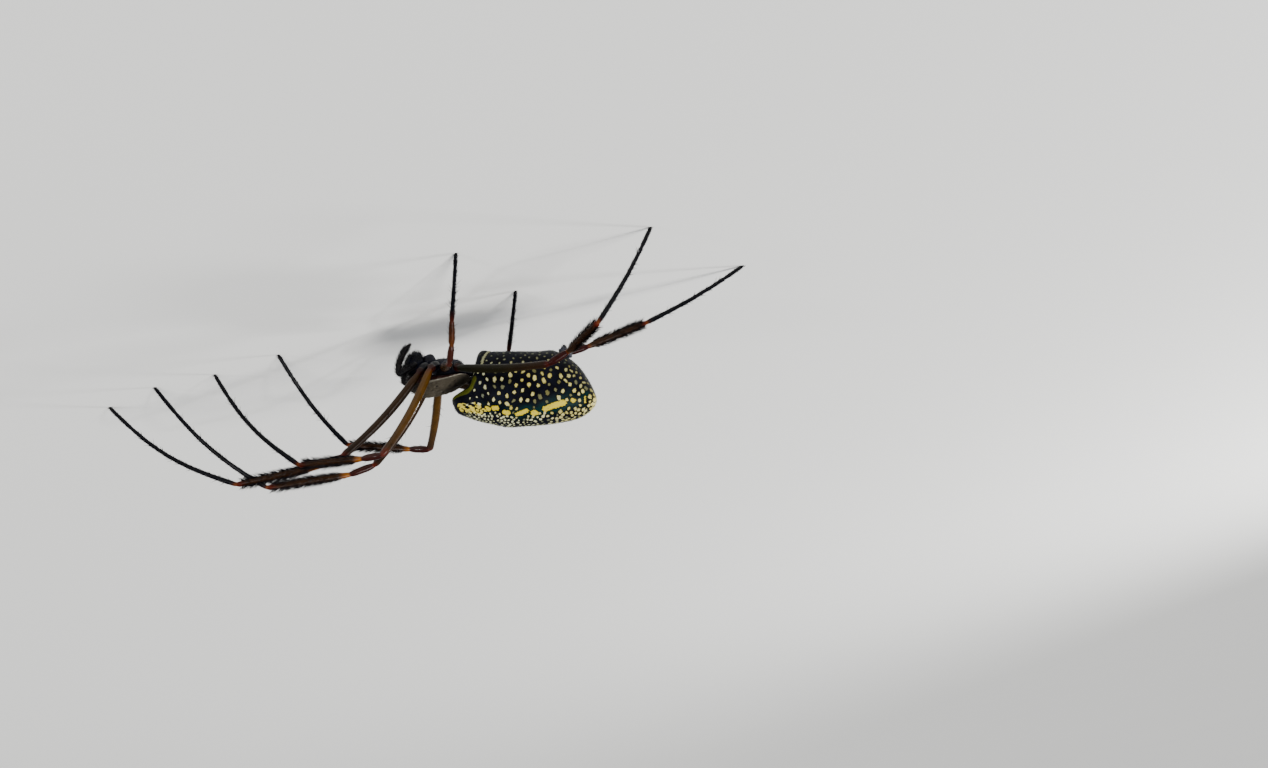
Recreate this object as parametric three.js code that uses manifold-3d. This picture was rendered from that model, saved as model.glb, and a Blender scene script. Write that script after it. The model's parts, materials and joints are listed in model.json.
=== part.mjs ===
// Golden silk orb weaver, adult female, life size, in millimetres.
// +X points to the head, +Y to the spider's left and +Z up, with every foot on the floor at z = 0.

import * as THREE from 'three';
import { mergeVertices } from 'three/addons/utils/BufferGeometryUtils.js';
import Module from 'manifold-3d';

const wasm = await Module();
wasm.setup();

// Driving dimensions
const GAP = 0.3;
const PEDICEL_HEIGHT = 9.26;
const BODY_PITCH = 16;
const EYE_CLEARANCE = 0.06;

// Leg segment lengths, joint to joint, the arch of the femur, the bow of the last length, and thickness
const LEG_SIZES = {
  1: { femur: 15.2, patella: 3.6, tibia: 11.6, metatarsus: 21.6, arch: 0.04, bow: 0.07, thick: 1 },
  2: { femur: 13.4, patella: 2.9, tibia: 9.2, metatarsus: 18.2, arch: 0.04, bow: 0.065, thick: 1 },
  3: { femur: 7.5, patella: 2.8, tibia: 3.5, metatarsus: 10.6, arch: 0.02, bow: 0.01, thick: 0.86 },
  4: { femur: 15.0, patella: 3.0, tibia: 9.2, metatarsus: 18.0, arch: 0.02, bow: 0.02, thick: 1 },
};

// Coxa root beside the sternum and hip below the carapace margin, in the body's own frame
const LEG_ROOTS = {
  1: { root: [6.3, 2.15, -0.4], hip: [7, 3.75, 1.1] },
  2: { root: [4.85, 2.2, -0.45], hip: [5.5, 4.2, 0.6] },
  3: { root: [3.4, 2.2, -0.45], hip: [3.7, 4.2, 0.5] },
  4: { root: [1.95, 2.1, -0.4], hip: [1.9, 3.8, 0.4] },
};

// Stance: each segment's turn outwards from straight ahead and its rise above level, in degrees
const LEG_STANCE = {
  right: {
    1: { femur: [-8, 31], patella: [-12, 4], tibia: [-8, -5], metatarsus: -2 },
    2: { femur: [5, 48], patella: [-16, -9], tibia: [-15, -13], metatarsus: -8 },
    3: { femur: [101, 13], patella: [118, -39], tibia: [113, -46], metatarsus: 112 },
    4: { femur: [149, 19], patella: [171, -15], tibia: [122, -3], metatarsus: 216 },
  },
  left: {
    1: { femur: [40, 25], patella: [-5, 7], tibia: [-14, -3], metatarsus: -50 },
    2: { femur: [69, 25], patella: [8, -18], tibia: [-30, -11], metatarsus: -70 },
    3: { femur: [138, 10], patella: [163, -55], tibia: [236, -40], metatarsus: 248 },
    4: { femur: [166, -4], patella: [165, -6], tibia: [164, -11], metatarsus: 159 },
  },
};
const SIDES = { right: -1, left: 1 };

// Profiles along a segment: fraction of its length and radius
const COXA_PROFILE = [
  [0, 0.3], [0.07, 0.5], [0.35, 0.7], [0.6, 0.66], [0.7, 0.54], [0.8, 0.6], [0.93, 0.54], [1, 0.3],
];
const FEMUR_PROFILE = [
  [0, 0.28], [0.03, 0.46], [0.15, 0.57], [0.45, 0.57], [0.8, 0.5], [0.95, 0.5], [0.985, 0.42], [1, 0.25],
];
const PATELLA_PROFILE = [[0, 0.25], [0.1, 0.42], [0.35, 0.5], [0.75, 0.47], [0.92, 0.4], [1, 0.25]];
const PALP_PROFILE = [
  [0, 0.25], [0.06, 0.42], [0.2, 0.5], [0.4, 0.5], [0.6, 0.5], [0.8, 0.44], [0.93, 0.32], [1, 0.15],
];
const TIBIA_PROFILE = [
  [0, 0.25], [0.03, 0.4], [0.2, 0.48], [0.6, 0.46], [0.93, 0.4], [0.985, 0.34], [1, 0.22],
];
const METATARSUS_PROFILE = [
  [0, 0.2], [0.015, 0.3], [0.08, 0.34], [0.2, 0.3], [0.35, 0.28], [0.5, 0.27],
  [0.65, 0.26], [0.79, 0.26], [0.84, 0.28], [0.93, 0.26], [1, 0.24],
];
const JOINT_RADIUS = 0.3;
const LIMB_FACETS = 8;

// The bristle brush of a tibia: flat tapered locks that lean towards the foot, by leg pair
const BRUSH_COUNTS = { 1: 26, 2: 16, 3: 0, 4: 24 };
const LOCK = { length: 1.25, width: 0.3, flatness: 0.4, sunk: 0.28, lean: 31, curl: 0.1 };
const BRUSH_SPAN = [0.14, 0.9];
const GOLDEN_ANGLE = 137.5;

// Outlines of the body in its own frame: distance forward of the pedicel against a height or half width
const ABDOMEN = {
  stations: [
    2.95, 2.8, 2.4, 1.9, 1.3, 0.7, 0.2, -0.1, -0.25, -0.5, -0.9, -1.8, -3.2, -4.8, -6.4, -8, -9.6, -11,
    -12.2, -13.3, -14.3, -15.2, -15.9, -16.35, -16.58,
  ],
  top: [[2.95, 4], [2.75, 4.75], [2.5, 5.3], [2.1, 5.75], [1.5, 6], [0.9, 6.2], [-0.8, 6.83], [-2.5, 7.2],
    [-4.9, 7.55], [-7.2, 7.45], [-10.2, 7.15], [-13, 6.7], [-14.4, 6.25], [-15.5, 5.6], [-16.25, 4.8],
    [-16.58, 3.9]],
  bottom: [[2.95, 4], [2.6, 3.45], [2, 3.1], [1.2, 2.6], [0.6, 2.05], [0.1, 1.1], [-0.15, -0.4], [-0.3, -2],
    [-0.6, -2.75], [-1.4, -2.9], [-2.5, -2.75], [-8.4, -2.75], [-10.4, -2.95], [-11.4, -2.6], [-13, -1.65],
    [-14.2, -0.6], [-15.6, 1.45], [-16.35, 3], [-16.58, 3.9]],
  halfWidth: [[2.95, 0], [2.6, 1.5], [1.9, 2.4], [0.7, 3.1], [-0.8, 3.75], [-2.5, 4.3], [-5, 4.65],
    [-8, 4.65], [-11, 4.3], [-13, 3.7], [-14.6, 2.9], [-15.8, 1.8], [-16.35, 1], [-16.58, 0]],
  facets: 28,
};
const CARAPACE = {
  stations: [9.15, 9.05, 8.85, 8.5, 8, 7.4, 6.6, 5.8, 5, 4.2, 3.4, 2.6, 1.8, 1.1, 0.75, 0.6],
  top: [[9.15, 1.25], [9, 1.85], [8.7, 2.35], [8.2, 2.85], [7.5, 3.25], [6.8, 3.4], [6, 3.3], [5.2, 3.03],
    [4.4, 2.75], [3.6, 2.45], [2.8, 2.02], [2.1, 1.5], [1.4, 1.1], [0.6, 0.8]],
  bottom: [[9.15, 1.25], [8.95, 0.9], [8.5, 0.75], [6, 0.8], [4, 0.8], [2, 0.6], [1, 0.5], [0.6, 0.8]],
  halfWidth: [[9.15, 0], [9, 1.25], [8.7, 1.75], [8.2, 2.1], [7.5, 2.3], [6.6, 2.65], [5.4, 3.2],
    [4.2, 3.45], [3, 3.3], [1.8, 2.7], [1, 1.7], [0.6, 0]],
  facets: 24,
};
const STERNUM = {
  stations: [6.55, 6.4, 6, 5.2, 4.2, 3, 2, 1.5, 1.3],
  top: [[6.55, 0.4], [6.3, 1.4], [4.2, 1.9], [1.6, 0.8], [1.3, 0.2]],
  bottom: [[6.55, 0.4], [6.3, -1], [5.7, -1.6], [4.2, -1.85], [2.2, -1.6], [1.5, -0.9], [1.3, 0.2]],
  halfWidth: [[6.55, 0], [6.25, 1.1], [5.5, 1.6], [4, 1.65], [2.2, 1.5], [1.5, 0.9], [1.3, 0]],
  facets: 16,
};
const MAXILLA = { centre: [5.95, 0.72, -1.62], size: [0.68, 0.55, 0.68] };
const PEDICEL = { front: 1.9, back: 0.28, height: 0.1, radius: 0.5 };

// Mouth parts, in the body's own frame
const CHELICERA = {
  centre: [8.05, 0.98, -1.02], size: [1.15, 0.82, 1.46], tilt: 10,
  fangRoot: [7.8, 1.3, -2.05], fangLength: 1.15, fangLean: 60, fangTilt: 35, fangCurve: 0.12,
  fangProfile: [[0, 0.24], [0.5, 0.18], [1, 0.06]],
};
const PALP = {
  root: [7.6, 2.3, -0.6], knee: [10.05, 2.5, 1.05], tip: [8.55, 2.2, -3.4], radius: 0.36, bow: -0.11,
};

// Eyes, as places across the face and their radii
const EYES = {
  front_middle: { y: 0.36, z: 1.4, radius: 0.2 },
  rear_middle: { y: 0.42, z: 1.95, radius: 0.2 },
  front_side: { y: 1.3, z: 1.3, radius: 0.16 },
  rear_side: { y: 1.42, z: 1.7, radius: 0.16 },
};

// Spinnerets: a short cluster of three pairs below the rear of the abdomen
const SPINNERETS = {
  place: [-12.2, 0, -2.62], tilt: 28, mound: [1.05, 0.95, 0.42],
  profile: [[0, 1], [0.6, 0.85], [0.92, 0.5], [1, 0.3]],
  pairs: [
    { x: 0.42, y: 0.4, radius: 0.36, length: 1.15 },
    { x: -0.05, y: 0.18, radius: 0.2, length: 0.8 },
    { x: -0.45, y: 0.42, radius: 0.3, length: 1.05 },
  ],
};

// Materials
const finish = (color, roughness) => new THREE.MeshStandardMaterial({ color, roughness, metalness: 0 });
const ABDOMEN_FINISH = finish(0x1c1d24, 0.4);
const CARAPACE_FINISH = finish(0x8e8678, 0.7);
const DARK_FINISH = finish(0x14141a, 0.3);
const EYE_FINISH = finish(0x050506, 0.05);
const FEMUR_FINISH = finish(0x6b3d17, 0.3);
const PATELLA_FINISH = finish(0x4a1a10, 0.3);
const TIBIA_FINISH = finish(0x3a2113, 0.4);
const METATARSUS_FINISH = finish(0x15161c, 0.4);

// A smooth height or width along the body from its few outline points, listed from front to rear
function along(points) {
  const slope = (index) => {
    const before = points[Math.max(index - 1, 0)];
    const after = points[Math.min(index + 1, points.length - 1)];
    return (after[1] - before[1]) / (after[0] - before[0]);
  };
  return (x) => {
    let index = 0;
    while (index < points.length - 2 && x < points[index + 1][0]) {
      index += 1;
    }
    const [x0, value0] = points[index];
    const [x1, value1] = points[index + 1];
    const span = x1 - x0;
    const t = THREE.MathUtils.clamp((x - x0) / span, 0, 1);
    const cubic = (2 * t ** 3 - 3 * t ** 2 + 1) * value0 + (3 * t ** 2 - 2 * t ** 3) * value1;
    const bend = (t ** 3 - 2 * t ** 2 + t) * slope(index) + (t ** 3 - t ** 2) * slope(index + 1);
    const low = Math.min(value0, value1);
    const high = Math.max(value0, value1);
    return THREE.MathUtils.clamp(cubic + bend * span, low - 0.05, high + 0.05);
  };
}

function bareGeometry(geometry) {
  geometry.deleteAttribute('normal');
  geometry.deleteAttribute('uv');
  const merged = mergeVertices(geometry, 1e-4);
  merged.computeVertexNormals();
  return merged;
}

// A rounded body from its outlines: a sphere whose rows become the stations
function outlineBody({ stations, top, bottom, halfWidth, facets }) {
  const topAt = along(top);
  const bottomAt = along(bottom);
  const widthAt = along(halfWidth);
  const rows = stations.length - 1;
  const geometry = new THREE.SphereGeometry(1, facets, rows);
  const { position, uv } = geometry.attributes;
  for (let index = 0; index < position.count; index += 1) {
    const row = Math.round((1 - uv.getY(index)) * rows);
    const x = stations[row];
    const tip = row === 0 || row === rows;
    const angle = uv.getX(index) * 2 * Math.PI;
    const middle = (topAt(x) + bottomAt(x)) / 2;
    const halfHeight = tip ? 0 : (topAt(x) - bottomAt(x)) / 2;
    const width = tip ? 0 : Math.max(widthAt(x), 0.05);
    position.setXYZ(index, x, -width * Math.cos(angle), middle - halfHeight * Math.sin(angle));
  }
  return bareGeometry(geometry);
}

// A turned limb along +Y, from fractions of its length and radii, arched towards +Z by the bow
function limbGeometry(length, profile, thick = 1, bow = 0) {
  const points = [new THREE.Vector2(0, 0)];
  profile.forEach(([fraction, radius]) => points.push(new THREE.Vector2(radius * thick, fraction * length)));
  points.push(new THREE.Vector2(0, length));
  const geometry = new THREE.LatheGeometry(points, LIMB_FACETS);
  const { position } = geometry.attributes;
  for (let index = 0; index < position.count; index += 1) {
    const arch = bow * length * Math.sin((Math.PI * position.getY(index)) / length);
    position.setZ(index, position.getZ(index) + arch);
  }
  return bareGeometry(geometry);
}

function ellipsoid([x, y, z], facets = 12) {
  return bareGeometry(new THREE.SphereGeometry(1, facets, facets / 2).scale(x, y, z));
}

function toSolid(geometry) {
  const mesh = new wasm.Mesh({
    numProp: 3,
    vertProperties: Float32Array.from(geometry.attributes.position.array),
    triVerts: Uint32Array.from(geometry.index.array),
  });
  return new wasm.Manifold(mesh);
}

// The largest closed surface of a solid, as a geometry again
function toGeometry(solid) {
  const pieces = solid.decompose();
  const largest = pieces.reduce((best, piece) => (piece.volume() > best.volume() ? piece : best));
  const mesh = largest.getMesh();
  const geometry = new THREE.BufferGeometry();
  geometry.setAttribute('position', new THREE.BufferAttribute(mesh.vertProperties, 3));
  geometry.setIndex(new THREE.BufferAttribute(mesh.triVerts, 1));
  geometry.computeVertexNormals();
  return geometry;
}

function makeMesh(name, geometry, material, parent) {
  const mesh = new THREE.Mesh(geometry, material);
  mesh.name = name;
  parent.add(mesh);
  return mesh;
}

const spider = new THREE.Group();
const body = new THREE.Group();
body.position.set(0, 0, PEDICEL_HEIGHT);
body.rotation.y = THREE.MathUtils.degToRad(BODY_PITCH);
spider.add(body);
body.updateMatrixWorld(true);

// Where the face lies at a height and a distance from the midline
function facePoint(y, z) {
  const topAt = along(CARAPACE.top);
  const bottomAt = along(CARAPACE.bottom);
  const widthAt = along(CARAPACE.halfWidth);
  const isOutside = (x) => {
    const middle = (topAt(x) + bottomAt(x)) / 2;
    const halfHeight = Math.max((topAt(x) - bottomAt(x)) / 2, 0.01);
    const width = Math.max(widthAt(x), 0.01);
    return ((z - middle) / halfHeight) ** 2 + (y / width) ** 2 > 1;
  };
  let x = CARAPACE.stations[0];
  while (isOutside(x)) {
    x -= 0.01;
  }
  return new THREE.Vector3(x, y, z);
}

function addEyes() {
  const centres = [];
  for (const [name, { y, z, radius }] of Object.entries(EYES)) {
    for (const [side, sign] of Object.entries(SIDES)) {
      const centre = facePoint(sign * y, z);
      const eye = makeMesh(`eye_${name}_${side}`, ellipsoid([radius, radius, radius], 10), EYE_FINISH, body);
      eye.position.copy(centre);
      centres.push({ centre, radius });
    }
  }
  return centres;
}

function addProsoma(eyes) {
  let solid = toSolid(outlineBody(CARAPACE)).add(toSolid(outlineBody(STERNUM)));
  for (const sign of Object.values(SIDES)) {
    const [x, y, z] = MAXILLA.centre;
    solid = solid.add(toSolid(ellipsoid(MAXILLA.size)).translate([x, sign * y, z]));
  }
  const { front, back, height, radius } = PEDICEL;
  const pedicel = new THREE.CylinderGeometry(radius, radius, front - back, 16);
  pedicel.rotateZ(Math.PI / 2).translate((front + back) / 2, 0, height);
  solid = solid.add(toSolid(bareGeometry(pedicel)));
  for (const eye of eyes) {
    const cup = eye.radius + EYE_CLEARANCE;
    solid = solid.subtract(toSolid(ellipsoid([cup, cup, cup], 10)).translate(eye.centre.toArray()));
  }
  makeMesh('prosoma', toGeometry(solid), CARAPACE_FINISH, body);
}

function addAbdomen() {
  makeMesh('abdomen', outlineBody(ABDOMEN), ABDOMEN_FINISH, body);
}

function addSpinnerets() {
  const { place, tilt, mound, pairs } = SPINNERETS;
  let solid = toSolid(ellipsoid(mound));
  for (const { x, y, radius, length } of pairs) {
    for (const sign of Object.values(SIDES)) {
      const profile = SPINNERETS.profile.map(([fraction, share]) => [fraction, share * radius]);
      const cone = limbGeometry(length, profile);
      cone.rotateX(-Math.PI / 2).translate(x, sign * y, 0);
      solid = solid.add(toSolid(cone));
    }
  }
  const mesh = makeMesh('spinnerets', toGeometry(solid), DARK_FINISH, body);
  mesh.position.fromArray(place);
  mesh.rotation.y = THREE.MathUtils.degToRad(tilt);
}

function addChelicerae() {
  const { centre, size, tilt, fangRoot, fangLength, fangLean, fangTilt, fangCurve, fangProfile } = CHELICERA;
  for (const [side, sign] of Object.entries(SIDES)) {
    const lobe = ellipsoid(size).rotateY(THREE.MathUtils.degToRad(tilt));
    lobe.translate(centre[0], sign * centre[1], centre[2]);
    const fang = limbGeometry(fangLength, fangProfile, 1, fangCurve);
    fang.rotateX(-Math.PI / 2 - sign * THREE.MathUtils.degToRad(fangLean));
    fang.rotateY(THREE.MathUtils.degToRad(fangTilt));
    fang.translate(fangRoot[0], sign * fangRoot[1], fangRoot[2]);
    makeMesh(`chelicera_${side}`, toGeometry(toSolid(lobe).add(toSolid(fang))), DARK_FINISH, body);
  }
}

// Turns a limb made along +Y to run from one point to another, with its arch as high as it goes
function aimLimb(mesh, from, to) {
  const ahead = to.clone().sub(from).normalize();
  const across = new THREE.Vector3(0, 0, 1).cross(ahead).normalize().negate();
  const upward = across.clone().cross(ahead);
  mesh.position.copy(from);
  mesh.quaternion.setFromRotationMatrix(new THREE.Matrix4().makeBasis(across, ahead, upward));
}

function addLimb(name, from, to, profile, material, parent, thick = 1, bow = 0) {
  const mesh = makeMesh(name, limbGeometry(from.distanceTo(to), profile, thick, bow), material, parent);
  aimLimb(mesh, from, to);
  return mesh;
}

// One lock: a flat cone along +Y that curls back towards the limb, with its root at the origin
function lockGeometry(scale) {
  const { length, width, flatness, sunk, curl } = LOCK;
  const cone = new THREE.ConeGeometry(width * scale, length * scale, 3, 2, false, Math.PI);
  cone.translate(0, (length * scale) / 2 - sunk, 0);
  const { position } = cone.attributes;
  for (let index = 0; index < position.count; index += 1) {
    const bend = curl * Math.max(position.getY(index), 0) ** 2;
    position.setZ(index, position.getZ(index) * flatness + bend);
  }
  return bareGeometry(cone);
}

// Fuses a brush of locks to a tibia, spread evenly round and along it
function brushSolid(limb, length, profile, count) {
  let solid = toSolid(limb);
  const radiusAt = along(profile.map(([fraction, radius]) => [-fraction, radius]));
  const lean = THREE.MathUtils.degToRad(LOCK.lean);
  const [first, last] = BRUSH_SPAN;
  for (let index = 0; index < count; index += 1) {
    const fraction = THREE.MathUtils.lerp(first, last, (index + 0.5) / count);
    const angle = THREE.MathUtils.degToRad(GOLDEN_ANGLE * index);
    const outward = new THREE.Vector3(Math.cos(angle), 0, Math.sin(angle));
    const across = new THREE.Vector3(-Math.sin(angle), 0, Math.cos(angle));
    const ahead = new THREE.Vector3(0, Math.cos(lean), 0).addScaledVector(outward, Math.sin(lean));
    const upward = across.clone().cross(ahead);
    const scale = 0.88 + 0.24 * Math.abs(Math.sin(index * 2.3));
    const root = outward.clone().multiplyScalar(radiusAt(-fraction));
    root.y = fraction * length;
    const placing = new THREE.Matrix4().makeBasis(across, ahead, upward).setPosition(root);
    solid = solid.add(toSolid(lockGeometry(scale).applyMatrix4(placing)));
  }
  return solid;
}

function addPalps() {
  const { root, knee, tip, radius, bow } = PALP;
  const thick = radius / 0.5;
  for (const [side, sign] of Object.entries(SIDES)) {
    const point = ([x, y, z]) => new THREE.Vector3(x, sign * y, z);
    const joint = setBack(point(root), point(knee), point(tip));
    addLimb(`palp_${side}_femur`, point(root), joint.end, PATELLA_PROFILE, DARK_FINISH, body, thick);
    addLimb(`palp_${side}_tarsus`, joint.start, point(tip), PALP_PROFILE, DARK_FINISH, body, thick, bow);
  }
}

// Where two segments end and start beside their shared joint, so that their round ends stay apart
function setBack(before, joint, after) {
  const inward = joint.clone().sub(before).normalize();
  const outward = after.clone().sub(joint).normalize();
  const halfBend = inward.angleTo(outward) / 2;
  const distance = (JOINT_RADIUS + GAP / 2) / Math.cos(halfBend) - JOINT_RADIUS;
  return {
    end: joint.clone().addScaledVector(inward, -distance),
    start: joint.clone().addScaledVector(outward, distance),
  };
}

function direction(turn, rise, sign) {
  const azimuth = THREE.MathUtils.degToRad(turn) * sign;
  const elevation = THREE.MathUtils.degToRad(rise);
  return new THREE.Vector3(
    Math.cos(elevation) * Math.cos(azimuth),
    Math.cos(elevation) * Math.sin(azimuth),
    Math.sin(elevation),
  );
}

// The foot stands where the last length, less its arch, reaches the floor
function footPoint(from, length, turn, sign) {
  const reach = Math.sqrt(length ** 2 - from.z ** 2);
  const foot = from.clone().addScaledVector(direction(turn, 0, sign), reach);
  foot.z = 0;
  return foot;
}

// Cuts the tip of the last length level with the floor, by sliding its end ring along the limb
function levelTip(mesh, length) {
  mesh.updateMatrix();
  const { position } = mesh.geometry.attributes;
  const [acrossZ, aheadZ, upwardZ] = [2, 6, 10].map((index) => mesh.matrix.elements[index]);
  for (let index = 0; index < position.count; index += 1) {
    if (position.getY(index) > length - 1e-3) {
      const height = mesh.position.z + acrossZ * position.getX(index) + upwardZ * position.getZ(index);
      position.setY(index, -height / aheadZ);
    }
  }
  mesh.geometry.computeVertexNormals();
}

function addLeg(pair, side) {
  const sign = SIDES[side];
  const sizes = LEG_SIZES[pair];
  const stance = LEG_STANCE[side][pair];
  const { thick, arch } = sizes;
  const inSpider = ([x, y, z]) => body.localToWorld(new THREE.Vector3(x, sign * y, z));
  const joints = [inSpider(LEG_ROOTS[pair].root), inSpider(LEG_ROOTS[pair].hip)];
  for (const segment of ['femur', 'patella', 'tibia']) {
    const [turn, rise] = stance[segment];
    joints.push(joints.at(-1).clone().addScaledVector(direction(turn, rise, sign), sizes[segment]));
  }
  joints.push(footPoint(joints.at(-1), sizes.metatarsus * 0.985, stance.metatarsus, sign));
  const bends = [1, 2, 3, 4].map((index) => setBack(joints[index - 1], joints[index], joints[index + 1]));
  const name = (segment) => `leg_${pair}_${side}_${segment}`;
  addLimb(name('coxa'), joints[0], bends[0].end, COXA_PROFILE, DARK_FINISH, spider);
  addLimb(name('femur'), bends[0].start, bends[1].end, FEMUR_PROFILE, FEMUR_FINISH, spider, thick, arch);
  addLimb(name('patella'), bends[1].start, bends[2].end, PATELLA_PROFILE, PATELLA_FINISH, spider, thick);
  const [tibiaStart, tibiaEnd] = [bends[2].start, bends[3].end];
  const tibia = addLimb(name('tibia'), tibiaStart, tibiaEnd, TIBIA_PROFILE, TIBIA_FINISH, spider, thick);
  if (BRUSH_COUNTS[pair] > 0) {
    const span = tibiaStart.distanceTo(tibiaEnd);
    tibia.geometry = toGeometry(brushSolid(tibia.geometry, span, TIBIA_PROFILE, BRUSH_COUNTS[pair]));
  }
  const length = bends[3].start.distanceTo(joints[5]);
  const slender = limbGeometry(length, METATARSUS_PROFILE, 1, sizes.bow);
  const metatarsus = makeMesh(name('metatarsus'), slender, METATARSUS_FINISH, spider);
  aimLimb(metatarsus, bends[3].start, joints[5]);
  levelTip(metatarsus, length);
}

addProsoma(addEyes());
addAbdomen();
addSpinnerets();
addChelicerae();
addPalps();
for (const side of Object.keys(SIDES)) {
  for (const pair of [1, 2, 3, 4]) {
    addLeg(pair, side);
  }
}

// The origin lies on the floor under the middle of the whole stance
const stance = new THREE.Box3().setFromObject(spider, true);
const middle = stance.getCenter(new THREE.Vector3());
spider.position.set(-middle.x, -middle.y, 0);

export default spider;
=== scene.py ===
"""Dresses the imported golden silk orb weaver: skin, markings, bristles, eyes and a plain studio.

Shapes are worked out in millimetres and become metres when a piece is finished.
"""

import json
import math
from functools import partial

import bmesh
import bpy
import numpy as np
from mathutils import Matrix, Vector, kdtree


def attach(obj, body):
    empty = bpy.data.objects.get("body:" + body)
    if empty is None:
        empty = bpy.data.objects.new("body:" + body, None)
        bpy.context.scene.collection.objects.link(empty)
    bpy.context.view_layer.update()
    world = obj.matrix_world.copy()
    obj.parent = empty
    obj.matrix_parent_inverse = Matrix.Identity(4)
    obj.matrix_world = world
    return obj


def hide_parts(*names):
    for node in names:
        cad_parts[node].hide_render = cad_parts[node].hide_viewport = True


bl_info = {
    "name": "Golden Silk Orb Weaver",
    "version": (1, 0, 0),
    "blender": (4, 5, 0),
    "location": "View3D > Sidebar > Spider",
    "description": "Adds the skin, markings, bristles and studio of a life-size orb weaver",
    "category": "Add Mesh",
}

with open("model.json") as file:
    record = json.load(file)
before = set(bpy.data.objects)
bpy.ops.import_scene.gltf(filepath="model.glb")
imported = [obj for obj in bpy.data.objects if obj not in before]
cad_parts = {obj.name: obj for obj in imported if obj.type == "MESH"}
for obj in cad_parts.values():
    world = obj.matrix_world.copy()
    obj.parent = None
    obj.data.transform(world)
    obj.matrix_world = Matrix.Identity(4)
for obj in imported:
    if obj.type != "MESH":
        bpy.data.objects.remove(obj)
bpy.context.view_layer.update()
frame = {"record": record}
MM = 0.001
SIDES = {"right": -1, "left": 1}
PAIRS = (1, 2, 3, 4)

# The body's own frame: x forward of the pedicel, y to the left, z up the back
PEDICEL_HEIGHT = 9.26
BODY_PITCH = math.radians(16)
BODY_TURN = Matrix.Translation((0, 0, PEDICEL_HEIGHT)) @ Matrix.Rotation(BODY_PITCH, 4, "Y")
FORWARD = (1, 0, 0)
BACKWARD = (-1, 0, 0)

# Leg segment lengths, the arch of the femur and the bow of the foot as shares of their lengths, and thickness
SEGMENTS = ("coxa", "femur", "patella", "tibia", "metatarsus")
LEG_LENGTHS = {
    1: {"femur": 15.2, "patella": 3.6, "tibia": 11.6, "metatarsus": 21.6},
    2: {"femur": 13.4, "patella": 2.9, "tibia": 9.2, "metatarsus": 18.2},
    3: {"femur": 7.5, "patella": 2.8, "tibia": 3.5, "metatarsus": 10.6},
    4: {"femur": 15.0, "patella": 3.0, "tibia": 9.2, "metatarsus": 18.0},
}
FEMUR_ARCH = {1: 0.04, 2: 0.04, 3: 0.02, 4: 0.02}
FOOT_BOW = {1: 0.07, 2: 0.065, 3: 0.01, 4: 0.02}
LEG_THICKNESS = {1: 1, 2: 1, 3: 0.86, 4: 1}
FOOT_CHORD = 0.985

# Coxa root and hip of the left legs, in the body's own frame
LEG_ROOTS = {
    1: ((6.3, 2.15, -0.4), (7, 3.75, 1.1)),
    2: ((4.85, 2.2, -0.45), (5.5, 4.2, 0.6)),
    3: ((3.4, 2.2, -0.45), (3.7, 4.2, 0.5)),
    4: ((1.95, 2.1, -0.4), (1.9, 3.8, 0.4)),
}

# Stance: turn outwards and rise of femur, patella and tibia, then the metatarsus's turn, in degrees
LEG_STANCE = {
    "right": {
        1: ((-8, 31), (-12, 4), (-8, -5), -2),
        2: ((5, 48), (-16, -9), (-15, -13), -8),
        3: ((101, 13), (118, -39), (113, -46), 112),
        4: ((149, 19), (171, -15), (122, -3), 216),
    },
    "left": {
        1: ((40, 25), (-5, 7), (-14, -3), -50),
        2: ((69, 25), (8, -18), (-30, -11), -70),
        3: ((138, 10), (163, -55), (236, -40), 248),
        4: ((166, -4), (165, -6), (164, -11), 159),
    },
}

# Radius along each leg segment, from joint to joint
LEG_PROFILES = {
    "coxa": ((0, 0.4), (0.1, 0.54), (0.35, 0.69), (0.58, 0.66), (0.7, 0.5), (0.8, 0.6), (0.92, 0.54),
             (1, 0.34)),
    "femur": ((0, 0.34), (0.03, 0.44), (0.12, 0.55), (0.3, 0.58), (0.6, 0.55), (0.85, 0.49), (0.95, 0.51),
              (1, 0.34)),
    "patella": ((0, 0.34), (0.12, 0.42), (0.35, 0.5), (0.7, 0.48), (0.88, 0.42), (1, 0.32)),
    "tibia": ((0, 0.32), (0.05, 0.39), (0.22, 0.47), (0.6, 0.46), (0.9, 0.4), (0.96, 0.39), (1, 0.27)),
    "metatarsus": ((0, 0.27), (0.02, 0.31), (0.08, 0.33), (0.2, 0.3), (0.4, 0.28), (0.65, 0.26), (0.775, 0.26),
                   (0.79, 0.235), (0.81, 0.26), (0.9, 0.25), (0.97, 0.225), (1, 0.15)),
}
LEG_RING_STEP = 0.22
JOINT_ROUNDING = 0.45
THIGH_GLOSS = {1: 0.2, 2: 0.32, 3: 0.26, 4: 0.07}

# Claws of a foot: how far each points aside, and its length
CLAWS = ((-0.35, 0.34), (0.35, 0.34), (0, 0.2))

# Coat of a leg: from and to along it, hairs, length as a share, radius and lean in degrees
SHORT_COAT = (
    (0.15, 1.0, 70, 1.0, 0.012, 34),
    (1.04, 1.96, 230, 0.8, 0.01, 24),
    (2.06, 2.94, 80, 1.0, 0.012, 34),
    (3.04, 3.97, 300, 1.1, 0.018, 34),
    (4.02, 4.78, 640, 1.05, 0.021, 28),
    (4.8, 4.995, 300, 0.85, 0.018, 28),
)
SPINES = ((1.25, 1.9, 7), (2.3, 2.9, 2), (3.15, 3.9, 8), (4.05, 4.75, 30))
BRUSHES = {1: 1000, 2: 700, 3: 0, 4: 800}
BRUSH_SPAN = (3.1, 3.93)
BRUSH_CREST = 0.74
COAT_SHARE = {1: 1, 2: 1, 3: 0.55, 4: 1}

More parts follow.
